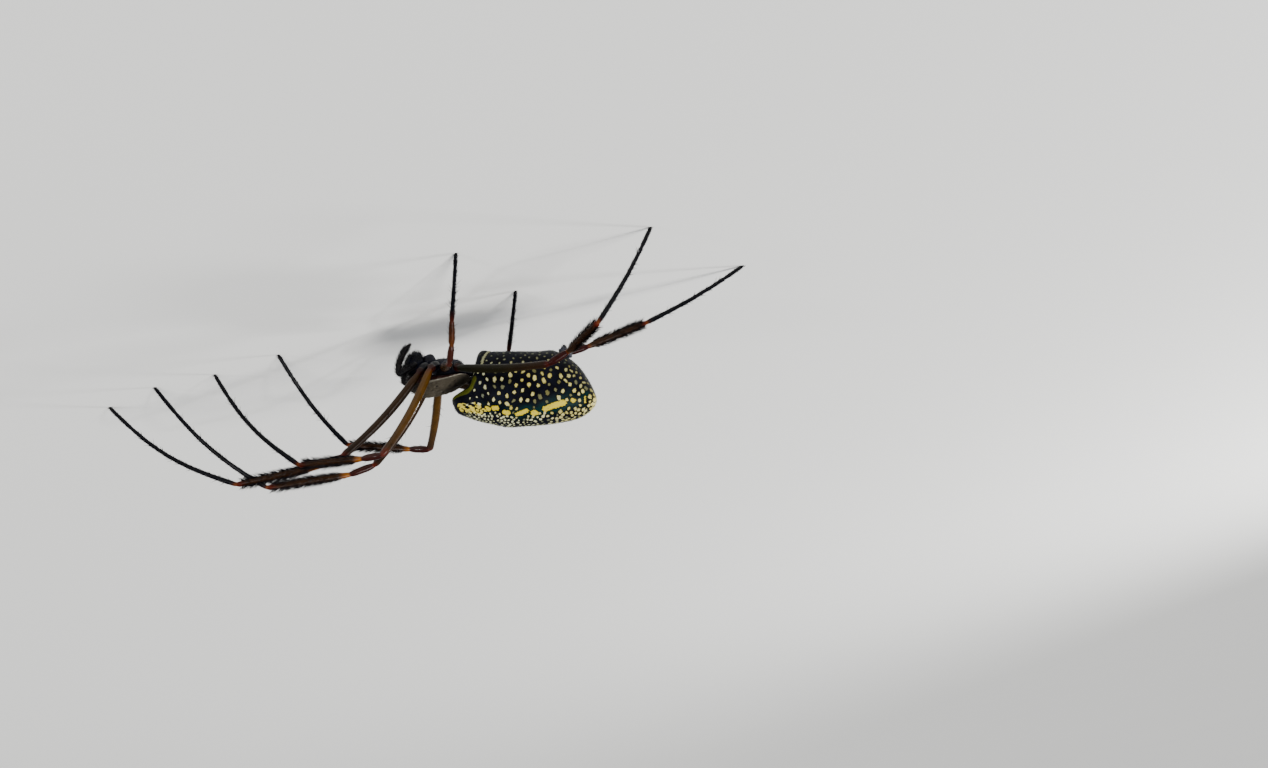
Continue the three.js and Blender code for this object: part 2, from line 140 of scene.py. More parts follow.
# Outlines of the body: x against a height or half width, from front to rear
ABDOMEN = {
    "top": ((2.95, 4), (2.75, 4.75), (2.5, 5.3), (2.1, 5.75), (1.5, 6), (0.9, 6.2), (-0.8, 6.83), (-2.5, 7.2),
            (-4.9, 7.55), (-7.2, 7.45), (-10.2, 7.15), (-13, 6.7), (-14.4, 6.25), (-15.5, 5.6), (-16.25, 4.8),
            (-16.58, 3.9)),
    "bottom": ((2.95, 4), (2.6, 3.45), (2, 3.1), (1.2, 2.6), (0.6, 2.05), (0.1, 1.1), (-0.15, -0.4),
               (-0.3, -2), (-0.6, -2.75), (-1.4, -2.9), (-2.5, -2.75), (-8.4, -2.75), (-10.4, -2.95),
               (-11.4, -2.6), (-13, -1.65), (-14.2, -0.6), (-15.6, 1.45), (-16.35, 3), (-16.58, 3.9)),
    "half_width": ((2.95, 0), (2.6, 1.5), (1.9, 2.4), (0.7, 3.1), (-0.8, 3.75), (-2.5, 4.3), (-5, 4.65),
                   (-8, 4.65), (-11, 4.3), (-13, 3.7), (-14.6, 2.9), (-15.8, 1.8), (-16.35, 1), (-16.58, 0)),
}
CARAPACE = {
    "top": ((9.15, 1.25), (9, 1.85), (8.7, 2.35), (8.2, 2.85), (7.5, 3.25), (6.8, 3.4), (6, 3.3), (5.2, 3.03),
            (4.4, 2.75), (3.6, 2.45), (2.8, 2.02), (2.1, 1.5), (1.4, 1.1), (0.6, 0.8)),
    "bottom": ((9.15, 1.25), (8.95, 0.9), (8.5, 0.75), (6, 0.8), (4, 0.8), (2, 0.6), (1, 0.5), (0.6, 0.8)),
    "half_width": ((9.15, 0), (9, 1.25), (8.7, 1.75), (8.2, 2.1), (7.5, 2.3), (6.6, 2.65), (5.4, 3.2),
                   (4.2, 3.45), (3, 3.3), (1.8, 2.7), (1, 1.7), (0.6, 0)),
}
STERNUM = {
    "top": ((6.55, 0.4), (6.3, 1.4), (4.2, 1.9), (1.6, 0.8), (1.3, 0.2)),
    "bottom": ((6.55, 0.4), (6.3, -1), (5.7, -1.6), (4.2, -1.85), (2.2, -1.6), (1.5, -0.9), (1.3, 0.2)),
    "half_width": ((6.55, 0), (6.25, 1.1), (5.5, 1.6), (4, 1.65), (2.2, 1.5), (1.5, 0.9), (1.3, 0)),
}
OUTLINE_SAMPLES = 1500
OUTLINE_SOFTNESS = 0.03

# The golden line down each side of the back: blobs as x and degrees from the midline, with half widths
GOLDEN_LINE = (
    (((1.2, 45.5), (0.2, 42), (-1.2, 39.5)), 0.62),
    (((-1.95, 43), (-2.35, 43)), 0.38),
    (((-3.15, 46), (-3.5, 47)), 0.38),
    (((-4.65, 40), (-4.9, 39)), 0.44),
    (((-6.2, 36.5), (-6.7, 38), (-7.45, 42)), 0.34),
    (((-8.45, 37), (-8.6, 36)), 0.47),
    (((-10.0, 42.5), (-11.2, 48), (-12.4, 53)), 0.44),
    (((-13.6, 60), (-13.75, 59.5)), 0.3),
    (((-15.2, 74), (-15.2, 57)), 0.15),
)
FRONT_BAND = (((-0.35, 98), (0.3, 107), (1.1, 116), (1.9, 121), (2.5, 119)), 0.52)
BELLY_STRIPE = (((-2.05, 180), (-1.95, 155), (-1.5, 132), (-1.3, 114)), 0.2)

# Spots by degrees from the midline, and by x: spacing and size, then light and warmth as shares
SPOT_RULES = {
    "spacing": ((0, 28, 40, 52, 70, 110, 130, 180), (0.48, 0.48, 0.54, 0.76, 0.94, 0.92, 0.8, 0.85)),
    "spacing_by_x": ((-16.6, -15, -13, -10, -2, 0, 3), (0.68, 0.74, 0.84, 1, 1, 0.85, 0.85)),
    "size": ((0, 28, 42, 55, 75, 110, 130, 180), (0.18, 0.18, 0.165, 0.235, 0.28, 0.26, 0.16, 0.15)),
    "size_by_x": ((-16.6, -15, -13, -4, -2, 0, 3), (0.72, 0.8, 0.92, 1, 0.75, 0.5, 0.42)),
    "low_rear": ((-16, -12, -9.5, -7.5), (1.3, 1.35, 1.2, 1)),
    "light": ((0, 25, 50, 95, 118, 135, 180), (1, 1, 1, 1, 0.6, 0.2, 0.14)),
    "warmth": ((0, 26, 42, 100, 140), (-0.1, -0.05, 0.55, 0.5, 0)),
    "warmth_by_x": ((-16, -13, -10, -5, -2.5, -0.5), (0.6, 0.5, 0.25, 0.05, -0.2, -0.6)),
}
# The teal beside the golden line is painted sheen; it grows stronger towards the rear
TEAL_BY_X = ((-9, -4, 1), (1, 0.4, 0.05))
FAINT_SHARE = 0.22
FAR_AWAY = 1e9

# Muscle pits of the abdomen's back, as x and degrees from the midline
PITS = ((-4.2, 16), (-7.2, 15), (-10, 14))

# Grooves of the carapace as x and y, each with its width and depth, and its bare spots
GROOVES = (
    (((3.9, 0), (5.2, 0.9), (6.7, 2.6)), 0.3, 0.16),
    (((3.4, 0), (4.1, 0.02)), 0.26, 0.2),
    (((3.8, 0.6), (5.0, 3.4)), 0.2, 0.07),
    (((3.8, 0.6), (3.6, 3.5)), 0.2, 0.07),
    (((3.8, 0.6), (2.2, 2.8)), 0.2, 0.07),
)
BARE_SPOTS = ((6.7, 0.55), (5.4, 1.5), (4.7, 2.3), (3.2, 1.3), (2.4, 1.9), (2.5, 0.6), (4.3, 0.7))

# Mouth parts, eyes and spinnerets of the left side, in the body's own frame
CHELICERA = {"centre": (8.05, 0.98, -1.02), "size": (1.2, 0.84, 1.5), "tilt": 10}
FANG = {
    "root": (7.8, 1.3, -2.0), "length": 1.15, "lean": 60, "tilt": 35, "hook": 0.15, "radius": 0.22, "rings": 16
}
PALP_PATH = ((7.6, 2.3, -0.6), (10.05, 2.5, 1.05), (8.55, 2.2, -3.4))
PALP_BOW = 0.11
PALP_RINGS = 90
PALP_KNEE = 0.4
PALP_PROFILE = (
    (0, 0.03, 0.2, 0.36, 0.4, 0.45, 0.52, 0.57, 0.7, 0.74, 0.78, 0.9, 0.97, 1),
    (0.24, 0.36, 0.43, 0.4, 0.33, 0.4, 0.4, 0.33, 0.42, 0.33, 0.4, 0.3, 0.15, 0.03),
)
MAXILLA = {"centre": (6.1, 0.74, -1.58), "size": (0.88, 0.6, 0.74), "tilt": 20}
LABIUM = {"centre": (6.1, 0, -1.4), "size": (0.5, 0.42, 0.4), "tilt": 10}
PEDICEL_PATH = ((2.0, 0, 0.1), (1.1, 0, 0.1), (0.1, 0, 0.1), (-0.4, 0, 0.1))
PEDICEL_RINGS = 14
EYES = {
    "front_middle": (0.36, 1.4, 0.2),
    "rear_middle": (0.42, 1.95, 0.2),
    "front_side": (1.3, 1.3, 0.16),
    "rear_side": (1.42, 1.7, 0.16),
}
HEAD_MIDDLE = Vector((6.85, 0, 0.9))
EYE_RING_RADIUS = 0.055
SPINNERETS = {
    "place": (-12.2, 0, -2.62),
    "tilt": 28,
    "pairs": ((0.42, 0.4, 0.38, 0.9), (-0.05, 0.18, 0.22, 0.62), (-0.42, 0.42, 0.33, 0.82)),
    "profile": ((0, 0.5, 0.62, 0.68, 0.9, 1), (1, 0.94, 0.87, 0.74, 0.6, 0.2)),
}
MOUND_SIZE = (1.05, 0.95, 0.42)

# Facets round each swept shape, and facets and rows of each rounded one
ROUND = {"leg": 22, "palp": 24, "pedicel": 24, "spinneret": 20, "fang": 20, "claw": 10, "eye_ring": 12}
FACETS = {"carapace": (200, 150), "sternum": (96, 64), "lobe": (48, 32), "eye": (32, 20), "mound": (48, 24)}

# Coats: how many hairs, and the way they point in the body's own frame
COATS = {
    "abdomen": (4000, BACKWARD),
    "silver": (9000, FORWARD),
    "face": (700, (1, 0, -0.6)),
    "sternum": (500, FORWARD),
    "chelicera": (1100, (0.2, 0, -1)),
}

# Bristles: length and radius in millimetres, lean in degrees, droop and sway as shares
BRISTLES = {
    "abdomen": {"radius": 0.011, "lean": 32},
    "silver": {"radius": 0.02, "lean": 14, "droop": 0.1, "sway": 0.35},
    "face": {"length": 0.7, "radius": 0.016, "lean": 40},
    "sternum": {"length": 0.45, "radius": 0.011, "lean": 35},
    "chelicera": {"length": 0.75, "radius": 0.016, "lean": 42},
    "spinneret": {"length": 0.3, "radius": 0.009, "lean": 28},
    "spine": {"length": 1.05, "radius": 0.038, "lean": 42, "droop": 0.1, "sway": 0.1},
    "brush": {"lean": 33, "droop": 0.06, "sway": 0.22},
}
PALP_COAT = ((0.05, 0.5, 420, 0.55, 42), (0.5, 0.9, 800, 0.6, 38), (0.9, 0.99, 90, 0.35, 26))
PALP_HAIR_RADIUS = 0.018
SPINNERET_HAIRS = 110
BRISTLE_CUTS = (0.35, 0.7)
BAKE_PATCH = 0.003

# Fixed colours, beside those of the sidebar
PAINT = {
    "paler ground": (0.005, 0.006, 0.012),
    "spot shadow": (0.002, 0.0015, 0.0015),
    "spot heart": (0.8, 0.7, 0.1),
    "spot edge": (0.2, 0.19, 0.006),
    "faint spot": (0.01, 0.022, 0.024),
    "olive": (0.105, 0.115, 0.012),
    "dark olive": (0.06, 0.066, 0.008),
    "tan hair": (0.15, 0.13, 0.1),
    "bare carapace": (0.008, 0.006, 0.006),
    "carapace margin": (0.42, 0.39, 0.32),
    "carapace edge": (0.03, 0.008, 0.007),
    "leg patches": (0.35, 0.33, 0.36),
    "eye": (0.003, 0.003, 0.004),
    "eye depth": (0.012, 0.006, 0.004),
}
WINE = (0.026, 0.003, 0.002)
BROWN = (0.03, 0.012, 0.004)
RUST = (0.07, 0.009, 0.003)

# Dark cuticles: roughness, scale of the relief, its depth in metres, and the tint of soft patches, which is
# painted blue sheen for the sternum, chelicerae and spinnerets
DARK_CUTICLES = {
    "sternum cuticle": (0.35, 3500.0, 0.000015, (0.02, 0.02, 0.035)),
    "eye ring": (0.4, 6000.0, 0.000008, (0.03, 0.02, 0.015)),
    "chelicera gloss": (0.16, 2600.0, 0.000006, (0.012, 0.014, 0.03)),
    "fang horn": (0.12, 3000.0, 0.000004, (0.08, 0.012, 0.006)),
    "palp cuticle": (0.3, 4200.0, 0.00001, (0.012, 0.009, 0.009)),
    "spinneret cuticle": (0.45, 4200.0, 0.00002, (0.07, 0.075, 0.1)),
    "claw horn": (0.2, 4000.0, 0.000004, (0.02, 0.01, 0.008)),
}

# Camera: the photo's own angle, with the roll that hangs the floor above the spider
PHOTO_WIDTH_PX = 1268
PIXELS_PER_MM = 7.4
CAMERA_DISTANCE = 360
CAMERA_ELEVATION = math.radians(14.585)
CAMERA_ROLL = math.radians(164.517)
CAMERA_AIM = (-20.266, 1.936, 7.036)
SENSOR_WIDTH = 36

# Lights: the key's direction, width and strength, and each small lamp's place, size and power, in metres
KEY_FROM = (-0.3, -0.5, 0.8)
KEY_WIDTH = math.radians(32)
KEY_STRENGTH = 3.0
KEY_COLOUR = (1.0, 0.98, 0.95)
LAMPS = (
    ("rear glint", (-0.3, -0.2, 0.36), 0.05, 0.6),
    ("front glint", (0.28, -0.4, 0.14), 0.05, 0.5),
    ("rim", (-0.33, 0.34, 0.16), 0.075, 1.9),
)
LAMP_AIM = Vector((-0.005, 0, 0.008))
AIR_STRENGTH = 0.3
AIR_COLOUR = (0.85, 0.9, 1.0)
FLOOR_HALF_WIDTH = 4


class SpiderSkin(bpy.types.PropertyGroup):
    """Sizes of the skin and its markings."""

    facets: bpy.props.IntProperty(
        name="Facets around", description="Facets round the abdomen", default=380, min=64, max=400
    )
    rows: bpy.props.IntProperty(
        name="Rows", description="Rows of facets along the abdomen", default=236, min=48, max=240
    )
    spot_size: bpy.props.FloatProperty(
        name="Spot size", description="Size of the abdomen's spots, as a share of the real ones", default=1.0,
        min=0.5, max=1.5, subtype="FACTOR"
    )
    seed: bpy.props.IntProperty(
        name="Seed", description="Which scatter of spots and hairs is drawn", default=7, min=0
    )


class SpiderCoat(bpy.types.PropertyGroup):
    """Sizes of the bristles and hairs."""

    brush_length: bpy.props.FloatProperty(
        name="Brush length", description="Length of the bristles in the tibial brushes",
        default=1.15 * MM, min=0, unit="LENGTH"
    )
    brush_radius: bpy.props.FloatProperty(
        name="Brush radius", description="Root radius of the bristles in the tibial brushes",
        default=0.034 * MM, min=0, unit="LENGTH"
    )
    hair_length: bpy.props.FloatProperty(
        name="Hair length", description="Length of the short hairs on the legs and the abdomen",
        default=0.4 * MM, min=0, unit="LENGTH"
    )
    silver_length: bpy.props.FloatProperty(
        name="Silver hair length", description="Length of the flat silver hairs of the carapace",
        default=0.42 * MM, min=0, unit="LENGTH"
    )
    density: bpy.props.FloatProperty(
        name="Density", description="Number of hairs, as a share of the full coat", default=1.0,
        min=0.05, max=1.5, subtype="FACTOR"
    )


class SpiderColours(bpy.types.PropertyGroup):
    """Colours of the animal and its studio."""

    ground: bpy.props.FloatVectorProperty(
        name="Ground", description="Near-black ground of the abdomen", subtype="COLOR", size=3,
        default=(0.002, 0.002, 0.004)
    )
    # Painted sheen: the teal laid beside the golden line
    teal: bpy.props.FloatVectorProperty(
        name="Teal", description="Blue-green shade beside the golden line", subtype="COLOR", size=3,
        default=(0.002, 0.024, 0.023)
    )
    white: bpy.props.FloatVectorProperty(
        name="White spots", description="Palest spots of the abdomen", subtype="COLOR", size=3,
        default=(0.7, 0.71, 0.46)
    )
    gold: bpy.props.FloatVectorProperty(
        name="Gold", description="Yellow of the golden line", subtype="COLOR", size=3,
        default=(0.62, 0.46, 0.003)
    )
    silver: bpy.props.FloatVectorProperty(
        name="Silver hair", description="Hair of the carapace", subtype="COLOR", size=3,
        default=(0.1, 0.085, 0.06)
    )
    amber: bpy.props.FloatVectorProperty(
        name="Amber", description="Middle of the thighs", subtype="COLOR", size=3,
        default=(0.07, 0.03, 0.002)
    )
    red: bpy.props.FloatVectorProperty(
        name="Joint red", description="Orange-red beside the leg joints", subtype="COLOR", size=3,
        default=(0.1, 0.01, 0.003)
    )
    black: bpy.props.FloatVectorProperty(
        name="Black", description="Blue-black of the feet, fangs and bristles", subtype="COLOR", size=3,
        default=(0.002, 0.002, 0.004)
    )
    floor: bpy.props.FloatVectorProperty(
        name="Floor", description="Plain pale floor", subtype="COLOR", size=3, default=(0.88, 0.88, 0.85)
    )


def skin_sizes():
    return bpy.context.scene.spider_skin


def coat_sizes():
    return bpy.context.scene.spider_coat


def colours():
    return bpy.context.scene.spider_colours


# Places


def heading_of(turn, rise, sign):
    turn, rise = math.radians(turn) * sign, math.radians(rise)
    return Vector((math.cos(rise) * math.cos(turn), math.cos(rise) * math.sin(turn), math.sin(rise)))


def leg_joints(pair, side):
    """Root, hip, knee, ends of patella and tibia, and foot, from the floor point below the pedicel."""
    sign = SIDES[side]
    lengths = LEG_LENGTHS[pair]
    *stance, last_turn = LEG_STANCE[side][pair]
    joints = [BODY_TURN @ Vector((x, sign * y, z)) for x, y, z in LEG_ROOTS[pair]]
    for segment, (turn, rise) in zip(SEGMENTS[1:4], stance):
        joints.append(joints[-1] + heading_of(turn, rise, sign) * lengths[segment])
    ankle = joints[-1]
    reach = math.sqrt((lengths["metatarsus"] * FOOT_CHORD) ** 2 - ankle.z**2)
    foot = ankle + heading_of(last_turn, 0, sign) * reach
    joints.append(Vector((foot.x, foot.y, 0)))
    return joints


def below_pedicel():
    """The frame's floor point below the pedicel, from where one foot's mount lies."""
    mounts = {mount["name"]: Vector(mount["pos_m"]) / MM for mount in frame["record"]["mounts"]}
    point = mounts["foot_1_right"] - leg_joints(1, "right")[-1]
    return Vector((point.x, point.y, 0))


ORIGIN = below_pedicel()
BODY = Matrix.Translation(ORIGIN) @ BODY_TURN


def in_model(points):
    """Points of the body's own frame, as rows, in the model's frame."""
    return points @ np.array(BODY.to_3x3()).T + np.array(BODY.translation)


def lifted(points, height):
    """Points no lower than a height above the floor."""
    return np.maximum(points, (-FAR_AWAY, -FAR_AWAY, height))


# Meshes


def read_points(mesh):
    points = np.empty(len(mesh.vertices) * 3, np.float32)
    mesh.vertices.foreach_get("co", points)
    return points.reshape(-1, 3).astype(float)


def write_points(mesh, points):
    mesh.vertices.foreach_set("co", np.ascontiguousarray(points, np.float32).ravel())
    mesh.update()


def write_marks(mesh, marks):
    """Keeps each named value of a mesh's vertices for its material to read."""
    for name, values in marks.items():
        layer = mesh.attributes.new(name, "FLOAT", "POINT")
        layer.data.foreach_set("value", np.ascontiguousarray(values, np.float32))


def to_mesh(bm, name):
    mesh = bpy.data.meshes.new(name)
    bm.to_mesh(mesh)
    bm.free()
    return mesh


def finish_piece(mesh, material, nodes=()):
    """Makes a smooth piece of a mesh in millimetres, rides it on the body and lets it stand for its nodes."""
    write_points(mesh, read_points(mesh) * MM)
    mesh.shade_smooth()
    mesh.materials.append(material)
    piece = bpy.data.objects.new(mesh.name, mesh)
    bpy.context.scene.collection.objects.link(piece)
    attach(piece, "root")
    if nodes:
        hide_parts(*nodes)


def smooth_through(knots, values, places):
    """A smooth curve through the knots that never swings past them."""
    knots, values = np.array(knots, float), np.array(values, float)
    steps = np.diff(knots)
    rises = np.diff(values) / steps
    slopes = np.zeros(len(knots))
    slopes[0], slopes[-1] = rises[0], rises[-1]
    before, after = rises[:-1], rises[1:]
    climbs = before * after > 0
    first, second = 2 * steps[1:] + steps[:-1], steps[1:] + 2 * steps[:-1]
    inner = first / np.where(climbs, before, 1) + second / np.where(climbs, after, 1)
    slopes[1:-1] = np.where(climbs, (first + second) / inner, 0)
    index = np.clip(np.searchsorted(knots, places, side="right") - 1, 0, len(steps) - 1)
    step = steps[index]
    t = np.clip((places - knots[index]) / step, 0, 1)
    ends = (2 * t**3 - 3 * t**2 + 1) * values[index] + (3 * t**2 - 2 * t**3) * values[index + 1]
    bends = (t**3 - 2 * t**2 + t) * slopes[index] + (t**3 - t**2) * slopes[index + 1]
    return ends + bends * step


def softened(values, reach):
    """Smooths evenly spaced values over a reach of samples, and keeps both ends where they are."""
    pad = 3 * reach
    kernel = np.exp(-0.5 * (np.arange(-pad, pad + 1) / reach) ** 2)
    front = 2 * values[0] - values[pad:0:-1]
    rear = 2 * values[-1] - values[-2 : -pad - 2 : -1]
    padded = np.concatenate((front, values, rear))
    return np.convolve(padded, kernel / kernel.sum(), mode="valid")


def drawn_outline(shape):
    """Even samples of a body's outlines, from its front tip to its rear tip, with the path length."""
    (front, _), (rear, _) = shape["top"][0], shape["top"][-1]
    middle, half = (front + rear) / 2, (front - rear) / 2
    angles = np.linspace(0, math.pi, OUTLINE_SAMPLES)
    reach = int(OUTLINE_SOFTNESS / math.pi * OUTLINE_SAMPLES)
    drawn = {"x": middle + half * np.cos(angles)}
    for line in ("top", "bottom", "half_width"):
        knots = [math.acos(max(-1, min(1, (x - middle) / half))) for x, _ in shape[line]]
        drawn[line] = softened(smooth_through(knots, [value for _, value in shape[line]], angles), reach)
    drawn["half_width"] = np.maximum(drawn["half_width"], 0)
    moves = np.abs(np.stack([np.diff(drawn[line]) for line in ("top", "bottom", "half_width")])).max(0)
    lengths = np.concatenate(([0], np.cumsum(np.hypot(np.diff(drawn["x"]), moves))))
    drawn["share"] = lengths / lengths[-1]
    return drawn


OUTLINES = {
    "abdomen": drawn_outline(ABDOMEN),
    "carapace": drawn_outline(CARAPACE),
    "sternum": drawn_outline(STERNUM),
}


def body_surface(which, share, around):
    """Points of a body by their share of its length and their angle from the top of its back."""
    drawn = OUTLINES[which]
    x, top, bottom, width = (
        np.interp(share, drawn["share"], drawn[line]) for line in ("x", "top", "bottom", "half_width")
    )
    middle, height = (top + bottom) / 2, (top - bottom) / 2
    return np.stack((x, width * np.sin(around), middle + height * np.cos(around)), axis=-1)


def surface_at(which, x, degrees):
    """Points of a body by how far forward they lie and their angle from the top of its back."""
    drawn = OUTLINES[which]
    share = np.interp(-np.asarray(x, float), -drawn["x"], drawn["share"])
    return body_surface(which, share, np.radians(degrees))


def outline_mesh(name, which, facets, rows):
    """A ball to be drawn out to a body's outlines: its mesh, shares of the length, angles and new points."""
    bm = bmesh.new()
    add_ball(bm, (facets, rows), Matrix())
    mesh = to_mesh(bm, name)
    unit = read_points(mesh)
    share = np.arccos(np.clip(unit[:, 2], -1, 1)) / math.pi
    around = np.arctan2(unit[:, 0], unit[:, 1])
    return mesh, share, around, body_surface(which, share, around)


def add_ball(bm, facets, place, radius=1):
    """Adds a ball with its facets and rows at a place, and returns its vertices."""
    made = bmesh.ops.create_uvsphere(bm, u_segments=facets[0], v_segments=facets[1], radius=radius)["verts"]
    bmesh.ops.transform(bm, matrix=place, verts=made)
    return made


def rounded(before, corner, after, share):
    """A place on the soft bend that cuts a corner off."""
    return before * (1 - share) ** 2 + corner * 2 * share * (1 - share) + after * share**2


def sweep(bm, centres, radii, sides, along=None):
    """Extrudes a ring from one centre to the next, turned as little as it can be, and closes its ends.

    Returns the path's frames for whatever grows on it.
    """
    layer = bm.verts.layers.float.get("along") or bm.verts.layers.float.new("along")
    centres = [Vector(centre) for centre in centres]
    last = len(centres) - 1
    headings = [(centres[min(i + 1, last)] - centres[max(i - 1, 0)]).normalized() for i in range(last + 1)]
    turn = headings[0].to_track_quat("Z", "Y")
    place = Matrix.LocRotScale(centres[0], turn, Vector((radii[0],) * 3))
    ring = bmesh.ops.create_circle(bm, segments=sides, radius=1)["verts"]
    bmesh.ops.transform(bm, matrix=place, verts=ring)
    edges = list({edge for vert in ring for edge in vert.link_edges})
    bmesh.ops.contextual_create(bm, geom=edges)
    turns = [turn]
    for vert in ring:
        vert[layer] = along[0] if along is not None else 0
    for i in range(1, last + 1):
        turn = headings[i - 1].rotation_difference(headings[i]) @ turn
        turns.append(turn)
        next_place = Matrix.LocRotScale(centres[i], turn, Vector((radii[i],) * 3))
        made = bmesh.ops.extrude_edge_only(bm, edges=edges)["geom"]
        ring = [item for item in made if isinstance(item, bmesh.types.BMVert)]
        fresh = set(ring)
        edges = [item for item in made if isinstance(item, bmesh.types.BMEdge)]
        edges = [edge for edge in edges if fresh.issuperset(edge.verts)]
        bmesh.ops.transform(bm, matrix=next_place @ place.inverted(), verts=ring)
        for vert in ring:
            vert[layer] = along[i] if along is not None else i / last
        place = next_place
    bmesh.ops.contextual_create(bm, geom=edges)
    return {
        "centres": np.array(centres),
        "across": np.array([turn @ Vector((1, 0, 0)) for turn in turns]),
        "upward": np.array([turn @ Vector((0, 1, 0)) for turn in turns]),
        "headings": np.array(headings),
        "radii": np.array(radii, float),
        "along": np.array(along if along is not None else np.linspace(0, 1, last + 1)),
        "ring": ring,
    }


# Nodes and materials


def add_node(tree, kind, inputs=None, **settings):
    """Adds a node with its settings, and sets or links its inputs."""
    node = tree.nodes.new(kind)
    for name, value in settings.items():
        setattr(node, name, value)
    for name, value in (inputs or {}).items():
        if isinstance(value, bpy.types.NodeSocket):
            tree.links.new(value, node.inputs[name])
        else:
            node.inputs[name].default_value = value
    return node


def rgba(colour):
    return (*colour[:3], 1)


def blend(tree, share, first, second, kind="MIX"):
    """Mixes two colours, or sockets that give them, by a share."""
    node = tree.nodes.new("ShaderNodeMix")
    node.data_type = "RGBA"
    node.blend_type = kind
    for index, value in ((0, share), (6, first), (7, second)):
        if isinstance(value, bpy.types.NodeSocket):
            tree.links.new(value, node.inputs[index])
        else:
            node.inputs[index].default_value = rgba(value) if index else value
    return node.outputs[2]


def maths(tree, operation, first, second):
    return add_node(tree, "ShaderNodeMath", {0: first, 1: second}, operation=operation).outputs[0]


def spread(tree, value, low, high, to_low=0.0, to_high=1.0):
    """Spreads a value between two limits over two others, and stops at them."""
    inputs = {"Value": value, "From Min": low, "From Max": high, "To Min": to_low, "To Max": to_high}
    return add_node(tree, "ShaderNodeMapRange", inputs).outputs[0]


def ramp(tree, value, stops):
    """A colour ramp from a list of positions and colours."""
    node = add_node(tree, "ShaderNodeValToRGB", {"Fac": value})
    elements = node.color_ramp.elements
    while len(elements) < len(stops):
        elements.new(1)
    for element, (position, colour) in zip(elements, stops):
        element.position = position
        element.color = rgba(colour)
    return node.outputs[0]


def stepped(tree, value, stops):
    """A share that changes with a value, from a list of positions and shares."""
    return ramp(tree, value, [(position, (share,) * 3) for position, share in stops])


def mark(tree, name):
    return add_node(tree, "ShaderNodeAttribute", attribute_name=name).outputs["Fac"]


def noise(tree, scale, detail):
    """Soft noise in the piece's own coordinates."""
    place = add_node(tree, "ShaderNodeTexCoord").outputs["Object"]
    inputs = {"Vector": place, "Scale": scale, "Detail": detail}
    return add_node(tree, "ShaderNodeTexNoise", inputs).outputs["Fac"]


def new_group(name, inputs, outputs):
    """An empty node group with named sockets, and its input and output nodes."""
    group = bpy.data.node_groups.new(name, "ShaderNodeTree")
    for socket, value in inputs.items():
        made = group.interface.new_socket(socket, in_out="INPUT", socket_type="NodeSocketFloat")
        made.default_value = value
    for socket, kind in outputs.items():
        group.interface.new_socket(socket, in_out="OUTPUT", socket_type=kind)
    return group, group.nodes.new("NodeGroupInput"), group.nodes.new("NodeGroupOutput")


def relief_group():
    """Fine folds and pores of cuticle: a mask for the roughness and a normal."""
    inputs = {"Scale": 3000, "Depth": 0.00001, "Pores": 0.3}
    outputs = {"Mask": "NodeSocketFloat", "Normal": "NodeSocketVector"}
    group, given, result = new_group("cuticle relief", inputs, outputs)
    folds = noise(group, given.outputs["Scale"], 4)
    place = add_node(group, "ShaderNodeTexCoord").outputs["Object"]
    finer = maths(group, "MULTIPLY", given.outputs["Scale"], 2.3)
    pores = add_node(group, "ShaderNodeTexVoronoi", {"Vector": place, "Scale": finer})
    pits = maths(group, "MULTIPLY", pores.outputs["Distance"], given.outputs["Pores"])
    heights = {"Height": maths(group, "ADD", folds, pits), "Distance": given.outputs["Depth"], "Strength": 1}
    bump = add_node(group, "ShaderNodeBump", heights)
    group.links.new(folds, result.inputs["Mask"])
    group.links.new(bump.outputs["Normal"], result.inputs["Normal"])
    return group


def mottle_group():
    """Soft uneven patches between two limits."""
    inputs = {"Scale": 600, "Low": 0.0, "High": 1.0}
    group, given, result = new_group("mottle", inputs, {"Value": "NodeSocketFloat"})
    patches = noise(group, given.outputs["Scale"], 3)
    value = spread(group, patches, 0.3, 0.7, given.outputs["Low"], given.outputs["High"])
    group.links.new(value, result.inputs["Value"])
    return group


def abdomen_group():
    """The abdomen's markings, which its skin and its hairs share; distances are in millimetres."""
    paint = colours()
    group, _, result = new_group("abdomen markings", {}, {"Color": "NodeSocketColor"})
    fine, broad, sand = noise(group, 5200.0, 3), noise(group, 420.0, 3), noise(group, 2600.0, 2)
    rough = spread(group, fine, 0.36, 0.62, -0.05, 0.05)
    grains = maths(group, "MULTIPLY", spread(group, sand, 0.38, 0.6, -1.1, 1.1), mark(group, "grain"))
    edge = maths(group, "ADD", mark(group, "spot"), maths(group, "ADD", rough, grains))
    dusk = blend(group, spread(group, broad, 0.35, 0.65), paint.ground, PAINT["paler ground"])
    # Painted sheen: teal over the ground beside the golden line
    shade = maths(group, "MULTIPLY", mark(group, "line_near"), spread(group, broad, 0.3, 0.55))
    dusk = blend(group, shade, dusk, paint.teal)
    dusk = blend(group, spread(group, mark(group, "spot"), -0.2, 0.0, 0, 0.75), dusk, PAINT["spot shadow"])
    cream = blend(group, mark(group, "warmth"), paint.white, paint.gold)
    cream = blend(group, spread(group, edge, 0.1, 0.3, 0, 0.22), cream, PAINT["spot heart"])
    cream = blend(group, spread(group, edge, 0.0, 0.08, 0.6, 0), cream, PAINT["spot edge"])
    cream = blend(group, mark(group, "light"), PAINT["faint spot"], cream)
    colour = blend(group, spread(group, edge, -0.012, 0.03), dusk, cream)
    olive = blend(group, spread(group, broad, 0.3, 0.7), PAINT["olive"], PAINT["dark olive"])
    group.links.new(blend(group, mark(group, "band"), colour, olive), result.inputs["Color"])
    return group


